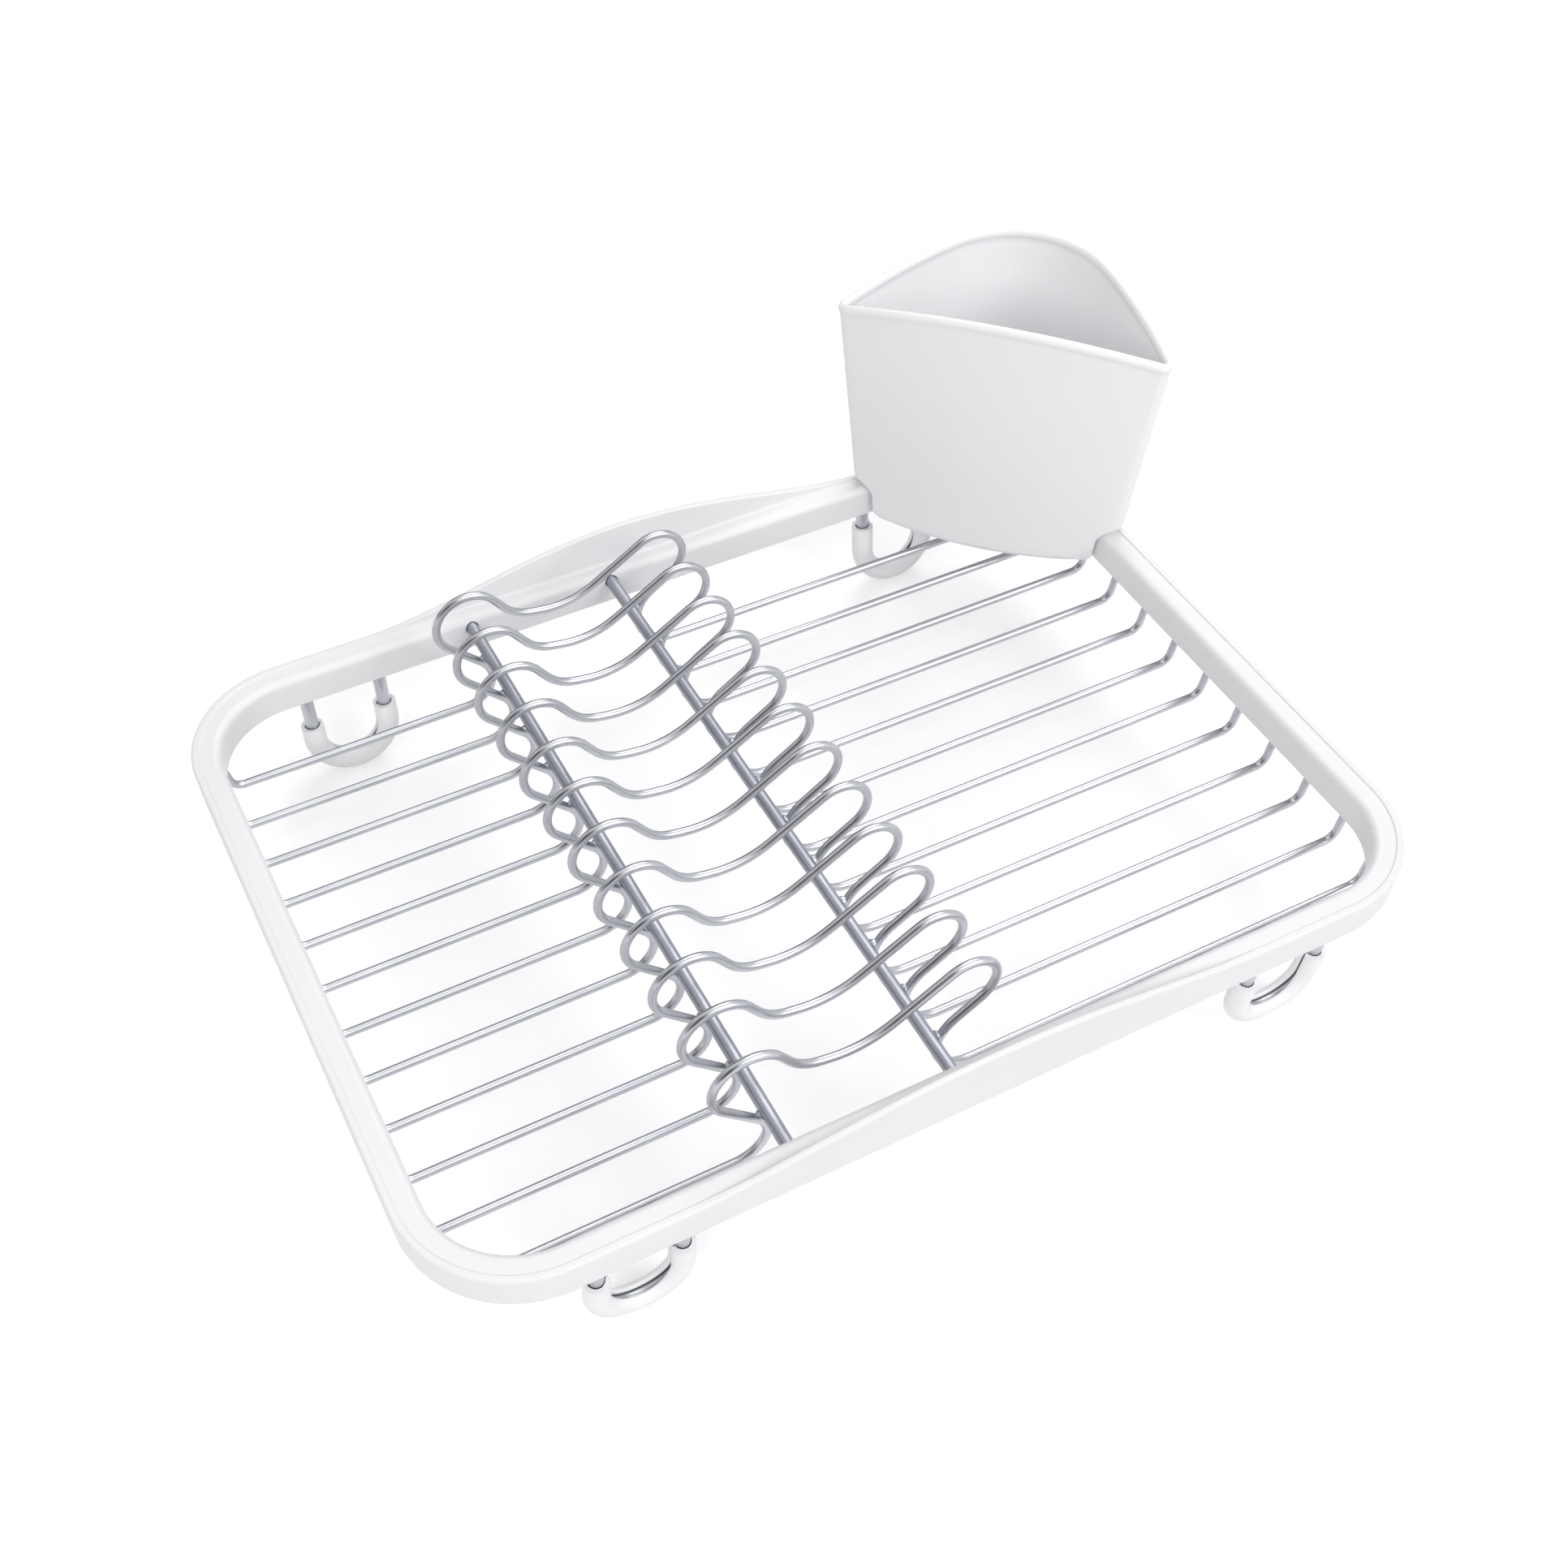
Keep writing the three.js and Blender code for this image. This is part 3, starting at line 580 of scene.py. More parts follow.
class Effects:
    """Surface effects that several finishes share, each one a node group."""

    def __init__(self) -> None:
        """Builds each group once."""
        self.tone = self.build_tone()
        self.gloss = self.build_gloss()
        self.grain = self.build_grain()
        self.drawn = self.build_drawn()

    def build_tone(self) -> NodeTree:
        """Slow drift between two tones, by soft noise on the object's place.

        Returns:
            The node group.
        """
        graph, given = new_effect("tone_drift", {"Light": (0.8, 0.8, 0.8), "Shade": (0.7, 0.7, 0.7),
                                                 "Scale": 12.0}, {"Color": "Color"})
        noise = graph.noise(graph.place(), given["Scale"], 3, Roughness=0.55)
        soft = graph.ranged(noise, 0.3, 0.7, interpolation_type="SMOOTHSTEP")
        mix = graph.add("Mix", {0: soft, 6: given["Light"], 7: given["Shade"]}, data_type="RGBA")
        graph.add("NodeGroupOutput", {"Color": mix.outputs[2]})
        return graph.tree

    def build_gloss(self) -> NodeTree:
        """Roughness that drifts between two values, by broad and fine noise.

        Returns:
            The node group.
        """
        graph, given = new_effect("gloss_drift", {"Low": 0.3, "High": 0.4, "Scale": 30.0},
                                  {"Roughness": "Float"})
        place = graph.place()
        broad = graph.noise(place, given["Scale"], 4)
        fine = graph.noise(place, graph.maths("MULTIPLY", given["Scale"], 7.0), 2)
        both = graph.maths("MULTIPLY", graph.maths("ADD", broad, fine), 0.5)
        rough = graph.ranged(both, 0.35, 0.65, given["Low"], given["High"])
        graph.add("NodeGroupOutput", {"Roughness": rough})
        return graph.tree

    def build_grain(self) -> NodeTree:
        """Moulded grain: fine cells over a slow ripple, as a height.

        Returns:
            The node group.
        """
        graph, given = new_effect("moulding_grain", {"Cells": 900.0, "Ripple": 60.0, "Ripple share": 0.3},
                                  {"Height": "Float"})
        place = graph.place()
        cells = graph.add("TexVoronoi", {"Vector": place, "Scale": given["Cells"]}, feature="SMOOTH_F1")
        ripple = graph.noise(place, given["Ripple"], 2)
        height = graph.add("Mix", {0: given["Ripple share"], 2: cells.outputs["Distance"], 3: ripple})
        graph.add("NodeGroupOutput", {"Height": height.outputs[0]})
        return graph.tree

    def build_drawn(self) -> NodeTree:
        """Fine lines drawn along a wire, from the run coordinate, with sparse pits.

        The noise is read on a long tube: cos and sin of the turn times the lines
        round it, and the run times the lines along it.

        Returns:
            The node group.
        """
        graph, given = new_effect("drawn_lines", {"Lines round": 30.0, "Lines along": 25.0, "Pits": 900.0},
                                  {"Height": "Float", "Mask": "Float"})
        split = graph.add("SeparateXYZ", {0: graph.add("TexCoord").outputs["UV"]}).outputs
        turn = graph.maths("MULTIPLY", split[0], 2 * math.pi)
        tube = [graph.maths("MULTIPLY", graph.maths(wave, turn), given["Lines round"])
                for wave in ("COSINE", "SINE")]
        tube.append(graph.maths("MULTIPLY", split[1], given["Lines along"]))
        lines = graph.noise(graph.add("CombineXYZ", dict(enumerate(tube))).outputs[0], 0.5, 3)
        pits = graph.noise(graph.place(), given["Pits"], 1)
        height = graph.add("Mix", {0: 0.1, 2: lines, 3: pits}).outputs[0]
        graph.add("NodeGroupOutput", {"Height": height, "Mask": graph.ranged(lines, 0.35, 0.65)})
        return graph.tree


@dataclass(frozen=True)
class Finish:
    """A surface with a slow drift of tone and gloss over a moulded grain.

    Scales count features in a metre, and the grain's depth is in metres.
    """

    name: str
    light: Colour
    shade: Colour
    gloss: tuple[float, float]
    tone_scale: float = 9
    gloss_scale: float = 26
    cells: float = 900
    ripple: float = 70
    ripple_share: float = 0.25
    depth: float = 0.00002
    strength: float = 0.3
    metallic: float = 0
    ior: float = 1.49

    def detail(self, graph: Graph, effects: Effects) -> tuple[NodeSocket, NodeSocket]:
        """Places the effects that shape the gloss and the surface.

        Args:
            graph: The material's graph.
            effects: The shared effects.

        Returns:
            Roughness and height.
        """
        low, high = self.gloss
        gloss = graph.use(effects.gloss, {"Low": low, "High": high, "Scale": self.gloss_scale})
        cells = {"Cells": self.cells, "Ripple": self.ripple, "Ripple share": self.ripple_share}
        return gloss.outputs[0], graph.use(effects.grain, cells).outputs[0]

    def material(self, effects: Effects) -> Material:
        """Builds the finish in one principled shader with a bump.

        Args:
            effects: The shared effects.

        Returns:
            The finished material.
        """
        graph = new_material(self.name)
        tone = graph.use(effects.tone, {"Light": self.light, "Shade": self.shade, "Scale": self.tone_scale})
        rough, height = self.detail(graph, effects)
        bump = graph.add("Bump", {"Height": height, "Distance": self.depth, "Strength": self.strength})
        surface = graph.add("BsdfPrincipled", {
            "Base Color": tone.outputs[0], "Roughness": rough, "Metallic": self.metallic, "IOR": self.ior,
            "Normal": bump.outputs[0]})
        graph.add("OutputMaterial", {"Surface": surface.outputs[0]})
        return bpy.data.materials[self.name]


@dataclass(frozen=True)
class DrawnNickel(Finish):
    """Nickel plate on drawn steel: fine lines along the wire under a satin gloss."""

    tone_scale: float = 40
    depth: float = 0.00001
    strength: float = 0.25
    metallic: float = 1
    ior: float = 1.5
    lines_round: float = 30
    lines_along: float = 25
    pits: float = 1400

    def detail(self, graph: Graph, effects: Effects) -> tuple[NodeSocket, NodeSocket]:
        """Places the drawn lines, which shape both the gloss and the surface.

        Args:
            graph: The material's graph.
            effects: The shared effects.

        Returns:
            Roughness and height.
        """
        drawn = graph.use(effects.drawn, {
            "Lines round": self.lines_round, "Lines along": self.lines_along, "Pits": self.pits}).outputs
        return graph.ranged(drawn["Mask"], 0, 1, *self.gloss), drawn["Height"]


RIM_WHITE = Finish("rim_white", (0.82, 0.81, 0.825), (0.795, 0.785, 0.80), (0.4, 0.48))
CUP_WHITE = Finish("cup_white", (0.90, 0.896, 0.912), (0.875, 0.872, 0.887), (0.5, 0.6),
                   cells=700, depth=0.00004, strength=0.4)
WIRE_PLATE = DrawnNickel("satin_nickel_plate", (0.53, 0.539, 0.575), (0.47, 0.479, 0.513), (0.27, 0.34))
BAR_PLATE = DrawnNickel("satin_nickel_bar", (0.37, 0.382, 0.43), (0.32, 0.332, 0.376), (0.34, 0.44))
WELD_METAL = Finish("plated_weld", (0.66, 0.67, 0.70), (0.40, 0.41, 0.44), (0.22, 0.5), tone_scale=600,
                    gloss_scale=500, cells=2200, ripple=700, ripple_share=0.6, depth=0.0003, strength=0.6,
                    metallic=1, ior=1.5)
SOFT_VINYL = Finish("soft_white_vinyl", (0.88, 0.885, 0.89), (0.84, 0.85, 0.86), (0.32, 0.42), tone_scale=60,
                    gloss_scale=40, cells=600, ripple=120, ripple_share=0.8, depth=0.00003, strength=0.2,
                    ior=1.5)


class Dresser:
    """Gives each piece its finish, its body and the CAD nodes it stands for."""

    def __init__(self) -> None:
        """Builds every finish once."""
        effects = Effects()
        finishes = (RIM_WHITE, CUP_WHITE, WIRE_PLATE, BAR_PLATE, WELD_METAL, SOFT_VINYL)
        self.materials = {finish: finish.material(effects) for finish in finishes}

    def dress(self, piece: Object, finish: Finish, body: Body, slot: Slot, *nodes: str) -> None:
        """Dresses a piece and hangs it on its body.

        Args:
            piece: The piece.
            finish: Its finish.
            body: The body it moves with.
            slot: The record's slot its finish comes from; not used.
            nodes: CAD nodes that it stands for.
        """
        piece.data.materials.clear()
        piece.data.materials.append(self.materials[finish])
        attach(piece, body.value)
        if nodes:
            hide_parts(*nodes)
        LOG.info("%s: %d faces, %s, on %s", piece.name, len(piece.data.polygons), finish.name, body.value)


# ---------------------------------------------------------------------- rim
@dataclass(frozen=True)
class Seat:
    """A blind hole for a rod: where it starts, where it runs to, the rod's
    radius, and the plan place of the boss that holds it."""

    start: Place
    end: Place
    radius: float
    post: tuple[float, float]
    wall: float = 1.6
    foot_ease: float = 0.3
    draft: float = 1.06
    mostly: float = 0.9

    def hole(self, lead: float, gap: float) -> Patch:
        """Closed cutter about the rod's line.

        Its section's first direction is square to the line and to y, or to x where
        the line runs mostly along y.

        Args:
            lead: Extra length where the rod enters.
            gap: Room round the rod and beyond its end.

        Returns:
            The closed cutter.
        """
        a, b = np.array(self.start), np.array(self.end)
        run = unit(b - a)
        side = unit(np.cross(run, Y_AXIS if abs(run[1]) < self.mostly else X_AXIS))
        path = np.stack([a - lead * run, b + gap * run])
        return Patch(carry(circle(self.radius + gap), path, side, np.cross(run, side)))

    def boss(self, bottom: float, top: float) -> Patch:
        """Closed upright post that holds the hole, with a small draft.

        Args:
            bottom: Height of its foot.
            top: Height of its top, inside the rim's plastic.

        Returns:
            The closed post.
        """
        radius = self.radius + self.wall
        path = joined(*self.post, np.array([bottom, bottom + self.foot_ease, top]))
        scale = np.array([1 - self.foot_ease / radius, 1, self.draft])
        return Patch(carry(circle(radius), path, X_AXIS, Y_AXIS, scale))


@dataclass
class Rim:
    """The moulded rim: a channel, open below, round a rounded rectangle."""

    middle: tuple[float, float]
    underside: float
    length: float = 347
    width: float = 261.2
    band: float = 9.7
    height: float = 12.6
    corner_radius: float = 38.8
    wall: float = 2.2
    draft: float = 0.5
    roll: float = 0.5
    roll_width: float = 2.4
    edge_drop: float = 1.8
    lip_rise: float = 13.2
    lip_half_length: float = 101
    lip_lean: float = 1.7
    lip_foot_shift: float = 1
    crest_taper: float = 0.2
    foot_radius: float = 0.4
    inner_radius: float = 2.6
    lip_foot_radius: float = 1.6
    crest_radii: tuple[float, float] = (0.95, 1.1)
    side_radius: float = 12
    wall_foot_radius: float = 0.25
    ceiling_radius: float = 0.8
    corner_steps: int = 26
    lip_steps: int = 72
    lead: float = 2
    gap: float = 0.3
    boss_lift: float = 0.02

    @property
    def top(self) -> float:
        """Height of the band above the table."""
        return self.underside + self.height

    @property
    def inner_half_length(self) -> float:
        """From the middle to the inner face at a short side."""
        return self.length / 2 - self.band

    @property
    def inner_half_width(self) -> float:
        """From the middle to the inner face at a long side."""
        return self.width / 2 - self.band

    @property
    def inner_corner(self) -> float:
        """Radius of the inner face at a corner."""
        return self.corner_radius - self.band

    def inner_face(self, y: float) -> float:
        """Distance from the middle to the inner face at a height y in plan."""
        into = max(abs(y) - (self.inner_half_width - self.inner_corner), 0)
        return self.inner_half_length - self.inner_corner + math.sqrt(self.inner_corner ** 2 - into ** 2)

    def from_corner(self, plan: Array, height: Number) -> Array:
        """Points of a plan whose p and q run inwards from the back right inner corner.

        Args:
            plan: Points (p, q), along -x and -y.
            height: Height of each point, or of all.

        Returns:
            Points of shape (n, 3) in the frame.
        """
        corner = np.array(self.middle) + [self.inner_half_length, self.inner_half_width]
        return joined(corner[0] - plan[..., 0], corner[1] - plan[..., 1], height)

    def stations(self) -> Array:
        """Places round the inner face, anticlockwise.

        Returns:
            Rows of x, y, outward angle and lip share, which is
            (1 - (x / half length)^2)^2 along the middle of a long side.
        """
        x, y = self.inner_half_length - self.inner_corner, self.inner_half_width - self.inner_corner
        rows = []
        for quarter, (side_x, side_y) in enumerate(CORNERS):
            angle = math.pi / 2 * (quarter + np.linspace(0, 1, self.corner_steps + 1))
            place = [side_x * x, side_y * y] + self.inner_corner * spoke(angle)
            rows.append(joined(place[:, 0], place[:, 1], angle, 0))
            if side_x == side_y:
                along = side_x * self.lip_half_length * np.linspace(1, -1, self.lip_steps + 1)
                share = (1 - (along / self.lip_half_length) ** 2) ** 2
                rows.append(joined(along, side_y * self.inner_half_width, side_y * math.pi / 2, share))
        return np.concatenate(rows)

    def sections(self, lip: Array) -> Array:
        """Rounded outline of the channel at each station.

        The outer edge rises with the lip share, leans out, and its foot moves in.

        Args:
            lip: Lip share of each station.

        Returns:
            Points (out, up) of shape (stations, points, 2).
        """
        crest = self.height + self.roll + lip * (self.lip_rise - self.roll)
        crest_out = self.band + lip * self.lip_lean
        lip_foot = self.band - self.roll_width - lip * self.lip_foot_shift
        wall_out, ceiling = self.band - self.wall, self.height - self.wall
        corners = [
            (0, 0, self.foot_radius),
            (0, self.height, self.inner_radius),
            (lip_foot, self.height, self.lip_foot_radius),
            (crest_out - self.roll_width + self.crest_taper * lip, crest, self.crest_radii[0]),
            (crest_out, crest, self.crest_radii[1]),
            (self.band, self.height - self.edge_drop, self.side_radius),
            (self.band - self.draft, 0, self.foot_radius),
            (wall_out, 0, self.wall_foot_radius),
            (wall_out, ceiling, self.ceiling_radius),
            (self.wall, ceiling, self.ceiling_radius),
            (self.wall, 0, self.wall_foot_radius),
        ]
        polygon = np.stack([joined(out, up + 0 * lip) for out, up, _ in corners], axis=1)
        return Rounding().outline(polygon, np.array([radius for _, _, radius in corners]))

    def build(self, seats: Sequence[Seat]) -> Object:
        """Builds the channel, adds the bosses and takes the blind holes.

        Args:
            seats: The holes that the rim has to give.

        Returns:
            The rim.
        """
        x, y, angle, lip = self.stations().T
        path = joined(x + self.middle[0], y + self.middle[1], self.underside)
        out = joined(np.cos(angle), np.sin(angle), 0)
        points = carry(self.sections(lip), path, out, Z_AXIS)
        piece = make_piece("rim_moulding", [Patch(points, Ends.RING)])
        foot, top = self.underside + self.boss_lift, self.top - self.wall / 2
        combine(piece, [seat.boss(foot, top) for seat in seats], Cut.ADD)
        combine(piece, [seat.hole(self.lead, self.gap) for seat in seats], Cut.TAKE)
        return piece


# --------------------------------------------------------------------- wires
@dataclass
class Grid:
    """Twelve bent wires across the rack and two bars along it, welded together."""

    rim: Rim
    rows: Sequence[float]
    bar_places: dict[str, tuple[float, float]]
    wire_radius: float = 1.45
    wire_sides: int = 20
    bar_radius: float = 2.2
    bar_ease: float = 0.5
    bar_steps: int = 40
    bar_lead: float = 1
    run_height: float = 25.9
    end_bend: float = 4.9
    end_lean: float = math.radians(12)
    seat_setback: float = 3.3
    seat_depth: float = 7
    bar_seat_depth: float = 5
    shape: tuple[Bend, ...] = (
        Bend(-74.8, 10.9, 10.9),
        Bend(-69.6, 38.6, 12, Turn.RIGHT),
        Bend(-43.8, 49.5, 15.4),
        Bend(-37.5, 62.2, 29.1),
        Bend(2, 39.8, 10.7, Turn.RIGHT),
        Bend(7.6, 13.9, 13.9),
    )
    weld_half: Place = (1.9, 1.9, 0.8)
    weld_reach: float = 0.48 * math.pi
    weld_steps: tuple[int, int] = (11, 18)
    weld_lumps: tuple[float, float] = (0.09, 0.05)
    weld_lobes: tuple[int, int] = (3, 5)
    weld_phase: float = 0.7

    def end_x(self, y: float) -> float:
        """Where a wire's end passes the rim's underside, from the middle."""
        return self.rim.inner_face(y) + self.seat_setback

    def path(self, y: float) -> WirePath:
        """Path of one wire, in the rack's own coordinates.

        Each end's low bend touches the level run and the leaning end run.

        Args:
            y: Place of the wire's row.

        Returns:
            The path.
        """
        rise = self.rim.underside - self.run_height
        upright = math.pi / 2 - self.end_lean
        touch = self.end_bend * math.tan(upright / 2)
        end_x = self.end_x(y) - rise * math.tan(self.end_lean) - touch
        run = (rise + self.seat_depth) / math.cos(self.end_lean) - touch
        first, last = (Bend(side * end_x, self.run_height + self.end_bend, self.end_bend) for side in (-1, 1))
        lifted = [Bend(b.across, b.up + self.run_height, b.radius, b.turn) for b in self.shape]
        return WirePath((first, *lifted, last), -upright, upright, run)

    def wire(self, y: float) -> Patch:
        """Round tube of one wire."""
        points = self.path(y).tube(circle(self.wire_radius, self.wire_sides), self.wire_radius, y)
        return Patch(points + np.array([*self.rim.middle, 0]))

    def bar(self, x: float, z: float) -> Patch:
        """Round tube of one cross bar, with eased ends, from front to back.

        Args:
            x: Place of the bar.
            z: Height of the bar.

        Returns:
            The closed tube.
        """
        reach = self.rim.inner_half_width + self.bar_seat_depth
        end, inner = reach - self.bar_ease * EASE_ALONG[::-1], reach - self.bar_lead
        along = np.concatenate([-end[::-1], np.linspace(-inner, inner, self.bar_steps), end])
        path = joined(x, along + self.rim.middle[1], z)
        scale = end_scales(len(along), self.bar_ease / self.bar_radius)
        return Patch(carry(circle(self.bar_radius), path, X_AXIS, Z_AXIS, scale))

    def weld(self, x: float, y: float, z: float, turn: Bend) -> Patch:
        """Small squashed bead where a wire touches a bar.

        An ellipsoid with its longest half along the bar and its shortest from the
        bar's middle to the turn's centre: sin u, cos u cos v and cos u sin v times
        the three halves. It bridges what room there is between bar and wire.

        Args:
            x: Place of the bar.
            y: Place of the wire.
            z: Height of the bar.
            turn: The low turn that the bar lies against.

        Returns:
            The closed bead.
        """
        towards = np.array([turn.across + self.rim.middle[0] - x, 0, turn.up + self.run_height - z])
        room = np.linalg.norm(towards) - turn.radius - self.wire_radius - self.bar_radius
        towards, between = unit(towards), max(room, 0) / 2
        rows, columns = self.weld_steps
        u, v = np.meshgrid(np.linspace(-self.weld_reach, self.weld_reach, rows),
                           np.arange(columns) * 2 * math.pi / columns, indexing="ij")
        (broad, fine), (few, many) = self.weld_lumps, self.weld_lobes
        swell = broad * np.sin(few * v + self.weld_phase * y) * np.cos(u)
        lump = np.cos(u) * (1 + swell + fine * np.sin(many * v - x))
        along, across, thick = self.weld_half
        bead = joined(along * np.sin(u), across * np.cos(v) * lump, (thick + between) * np.sin(v) * lump)
        centre = np.array([x, y, z]) + towards * (self.bar_radius + between)
        return Patch(centre + bead @ np.stack([Y_AXIS, np.cross(Y_AXIS, towards), towards]))

    def seats(self) -> list[Seat]:
        """Blind holes in the rim for the wires' and the bars' ends.

        Returns:
            Two seats for each wire, then two for each bar.
        """
        found = []
        bottom, depth = self.rim.underside, self.seat_depth
        for y in self.rows:
            for side in (-1, 1):
                x, lean = side * self.end_x(y) + self.rim.middle[0], side * math.tan(self.end_lean)
                row = y + self.rim.middle[1]
                found.append(Seat((x, row, bottom), (x + lean * depth, row, bottom + depth), self.wire_radius,
                                  (x + lean * depth / 2, row)))
        for x, z in self.bar_places.values():
            for side in (-1, 1):
                face = self.rim.middle[1] + side * self.rim.inner_half_width
                found.append(Seat((x, face, z), (x, face + side * self.bar_seat_depth, z), self.bar_radius,
                                  (x, face + side * self.rim.band / 2)))
        return found

    def build(self, dresser: Dresser) -> None:
        """Builds and dresses every wire, bar and weld.

        Args:
            dresser: What gives the pieces their finishes.
        """
        for k, y in enumerate(self.rows):
            piece = make_piece(f"bent_wire_{k + 1:02d}", [self.wire(y)])
            dresser.dress(piece, WIRE_PLATE, Body.RACK, Slot.NICKEL, f"grid_wire_{k + 1:02d}")
        for (name, (x, z)), turn in zip(self.bar_places.items(), (self.shape[0], self.shape[-1])):
            rod = make_piece(f"{name}_rod", [self.bar(x, z)])
            dresser.dress(rod, BAR_PLATE, Body.RACK, Slot.NICKEL, name)
            welds = [self.weld(x, y + self.rim.middle[1], z, turn) for y in self.rows]
            dresser.dress(make_piece(f"{name}_welds", welds), WELD_METAL, Body.RACK, Slot.NICKEL)


# ---------------------------------------------------------------------- feet
@dataclass
class Foot:
    """A wire U that hangs from the rim and leans in, and its split soft sleeve."""

    rim: Rim
    name: str
    x: float
    side: int
    sleeve_drop: float
    wire_radius: float = 2.4
    wire_ease: float = 0.5
    spread: float = 27.1
    seat_depth: float = 8
    lean: float = math.radians(5.5)
    sleeve_wall: float = 1.45
    sleeve_gap: float = 0.3
    slit: float = 2.3
    slit_end: float = 0.5
    press: float = 0.3
    arc_steps: int = 40
    edge_steps: int = 9

    @property
    def y(self) -> float:
        """Middle of the legs at the rim's underside, from the rack's middle."""
        return self.side * (self.rim.width / 2 - self.rim.band / 2)

    @property
    def sleeve_radius(self) -> float:
        """Outer radius of the sleeve."""
        return self.wire_radius + self.sleeve_gap + self.sleeve_wall

    @property
    def centre_height(self) -> float:
        """Height of the U's bend before it leans."""
        hang = (self.rim.underside - self.sleeve_radius + self.press) / math.cos(self.lean)
        return self.rim.underside - hang + self.spread / 2

    def path(self, leg_top: float, ease: float) -> WirePath:
        """Path of the upright U between two leg tops."""
        bend = Bend(self.x, self.centre_height, self.spread / 2)
        return WirePath((bend,), -math.pi / 2, math.pi / 2, leg_top - self.centre_height, ease)

    def lean_in(self, points: Array) -> Array:
        """Turns points about the line of the rim's underside, towards the inside.

        From that line, y becomes y cos a + z sin a and z becomes z cos a - y sin a,
        with a as the lean, and minus the lean at the front.

        Args:
            points: Points of the upright U, in the rack's own coordinates.

        Returns:
            The same points in the frame.
        """
        pivot = np.array([0, self.y, self.rim.underside])
        y_way = Y_AXIS * math.cos(self.lean) - Z_AXIS * self.side * math.sin(self.lean)
        z_way = Y_AXIS * self.side * math.sin(self.lean) + Z_AXIS * math.cos(self.lean)
        return (points - pivot) @ np.stack([X_AXIS, y_way, z_way]) + pivot + Y_AXIS * self.rim.middle[1]

    def wire(self) -> Patch:
        """Round tube of the foot's wire."""
        path = self.path(self.rim.underside + self.seat_depth, self.wire_ease)
        return Patch(self.lean_in(path.tube(circle(self.wire_radius), self.wire_radius, self.y)))

    def sleeve_sections(self, count: int) -> Array:
        """Sections of the split tube, its slit towards the inside of the U.

        Each is two arcs about the wire, joined at the slit by half circles. The slit
        is widest half way round the U and narrows as the squared sine of its place.

        Args:
            count: How many stations the sleeve has.

        Returns:
            Points of shape (stations, points, 2), from the middle of a slit's edge.
        """
        outer, inner = self.sleeve_radius, self.wire_radius + self.sleeve_gap
        middle = (outer + inner) / 2
        open_share = np.sin(np.linspace(0, math.pi, count)) ** 2
        width = self.slit_end + (self.slit - self.slit_end) * open_share
        start = np.arcsin((width + self.sleeve_wall) / 2 / middle)[:, None]
        sweep = start + (2 * math.pi - 2 * start) * np.linspace(0, 1, self.arc_steps)
        turn = np.linspace(-math.pi / 2, math.pi / 2, self.edge_steps)[1:-1, None]

        def edge(angle: Array, way: int) -> Array:
            """Half circles round one edge of the slit, from the outside in."""
            radial, along = spoke(angle), way * spoke(angle + math.pi / 2)
            return middle * radial + self.sleeve_wall / 2 * (np.cos(turn) * along - np.sin(turn) * radial)

        section = np.concatenate([outer * spoke(sweep), edge(sweep[:, -1:], 1), inner * spoke(sweep[:, ::-1]),
                                  edge(sweep[:, :1], -1)[:, ::-1]], axis=1)
        return np.roll(section, len(turn) // 2, axis=1)

    def sleeve(self) -> Patch:
        """The sleeve: its section carried round the U, and pressed flat where it stands.

        Returns:
            The closed tube.
        """
        path = self.path(self.rim.underside - self.sleeve_drop, 0)
        middle, _ = path.line()
        keep = np.append(True, np.linalg.norm(np.diff(middle, axis=0), axis=1) > TINY)
        tube = path.tube(self.sleeve_sections(len(middle)), self.sleeve_radius, self.y)
        points = self.lean_in(tube[keep])
        points[..., 2] = np.maximum(points[..., 2], 0)
        return Patch(points, Ends.STRIP)

    def seats(self) -> list[Seat]:
        """Leaning blind holes for the two legs.

        Returns:
            One seat for each leg.
        """
        found = []
        height = self.rim.underside + np.array([0, self.seat_depth])
        for side in (-1, 1):
            start, end = self.lean_in(joined(self.x + side * self.spread / 2, self.y, height))
            post = (start[0], self.y + self.rim.middle[1])
            found.append(Seat(tuple(start), tuple(end), self.wire_radius, post))
        return found

    def build(self, dresser: Dresser) -> None:
        """Builds and dresses the wire and its sleeve.

        Args:
            dresser: What gives the pieces their finishes.
        """
        wire = make_piece(f"leg_wire_{self.name}", [self.wire()])
        dresser.dress(wire, WIRE_PLATE, Body.RACK, Slot.NICKEL, f"foot_wire_{self.name}")
        sleeve = make_piece(f"sleeve_{self.name}", [self.sleeve()], SMOOTH_THIN)
        dresser.dress(sleeve, SOFT_VINYL, Body.RACK, Slot.VINYL, f"foot_sleeve_{self.name}")


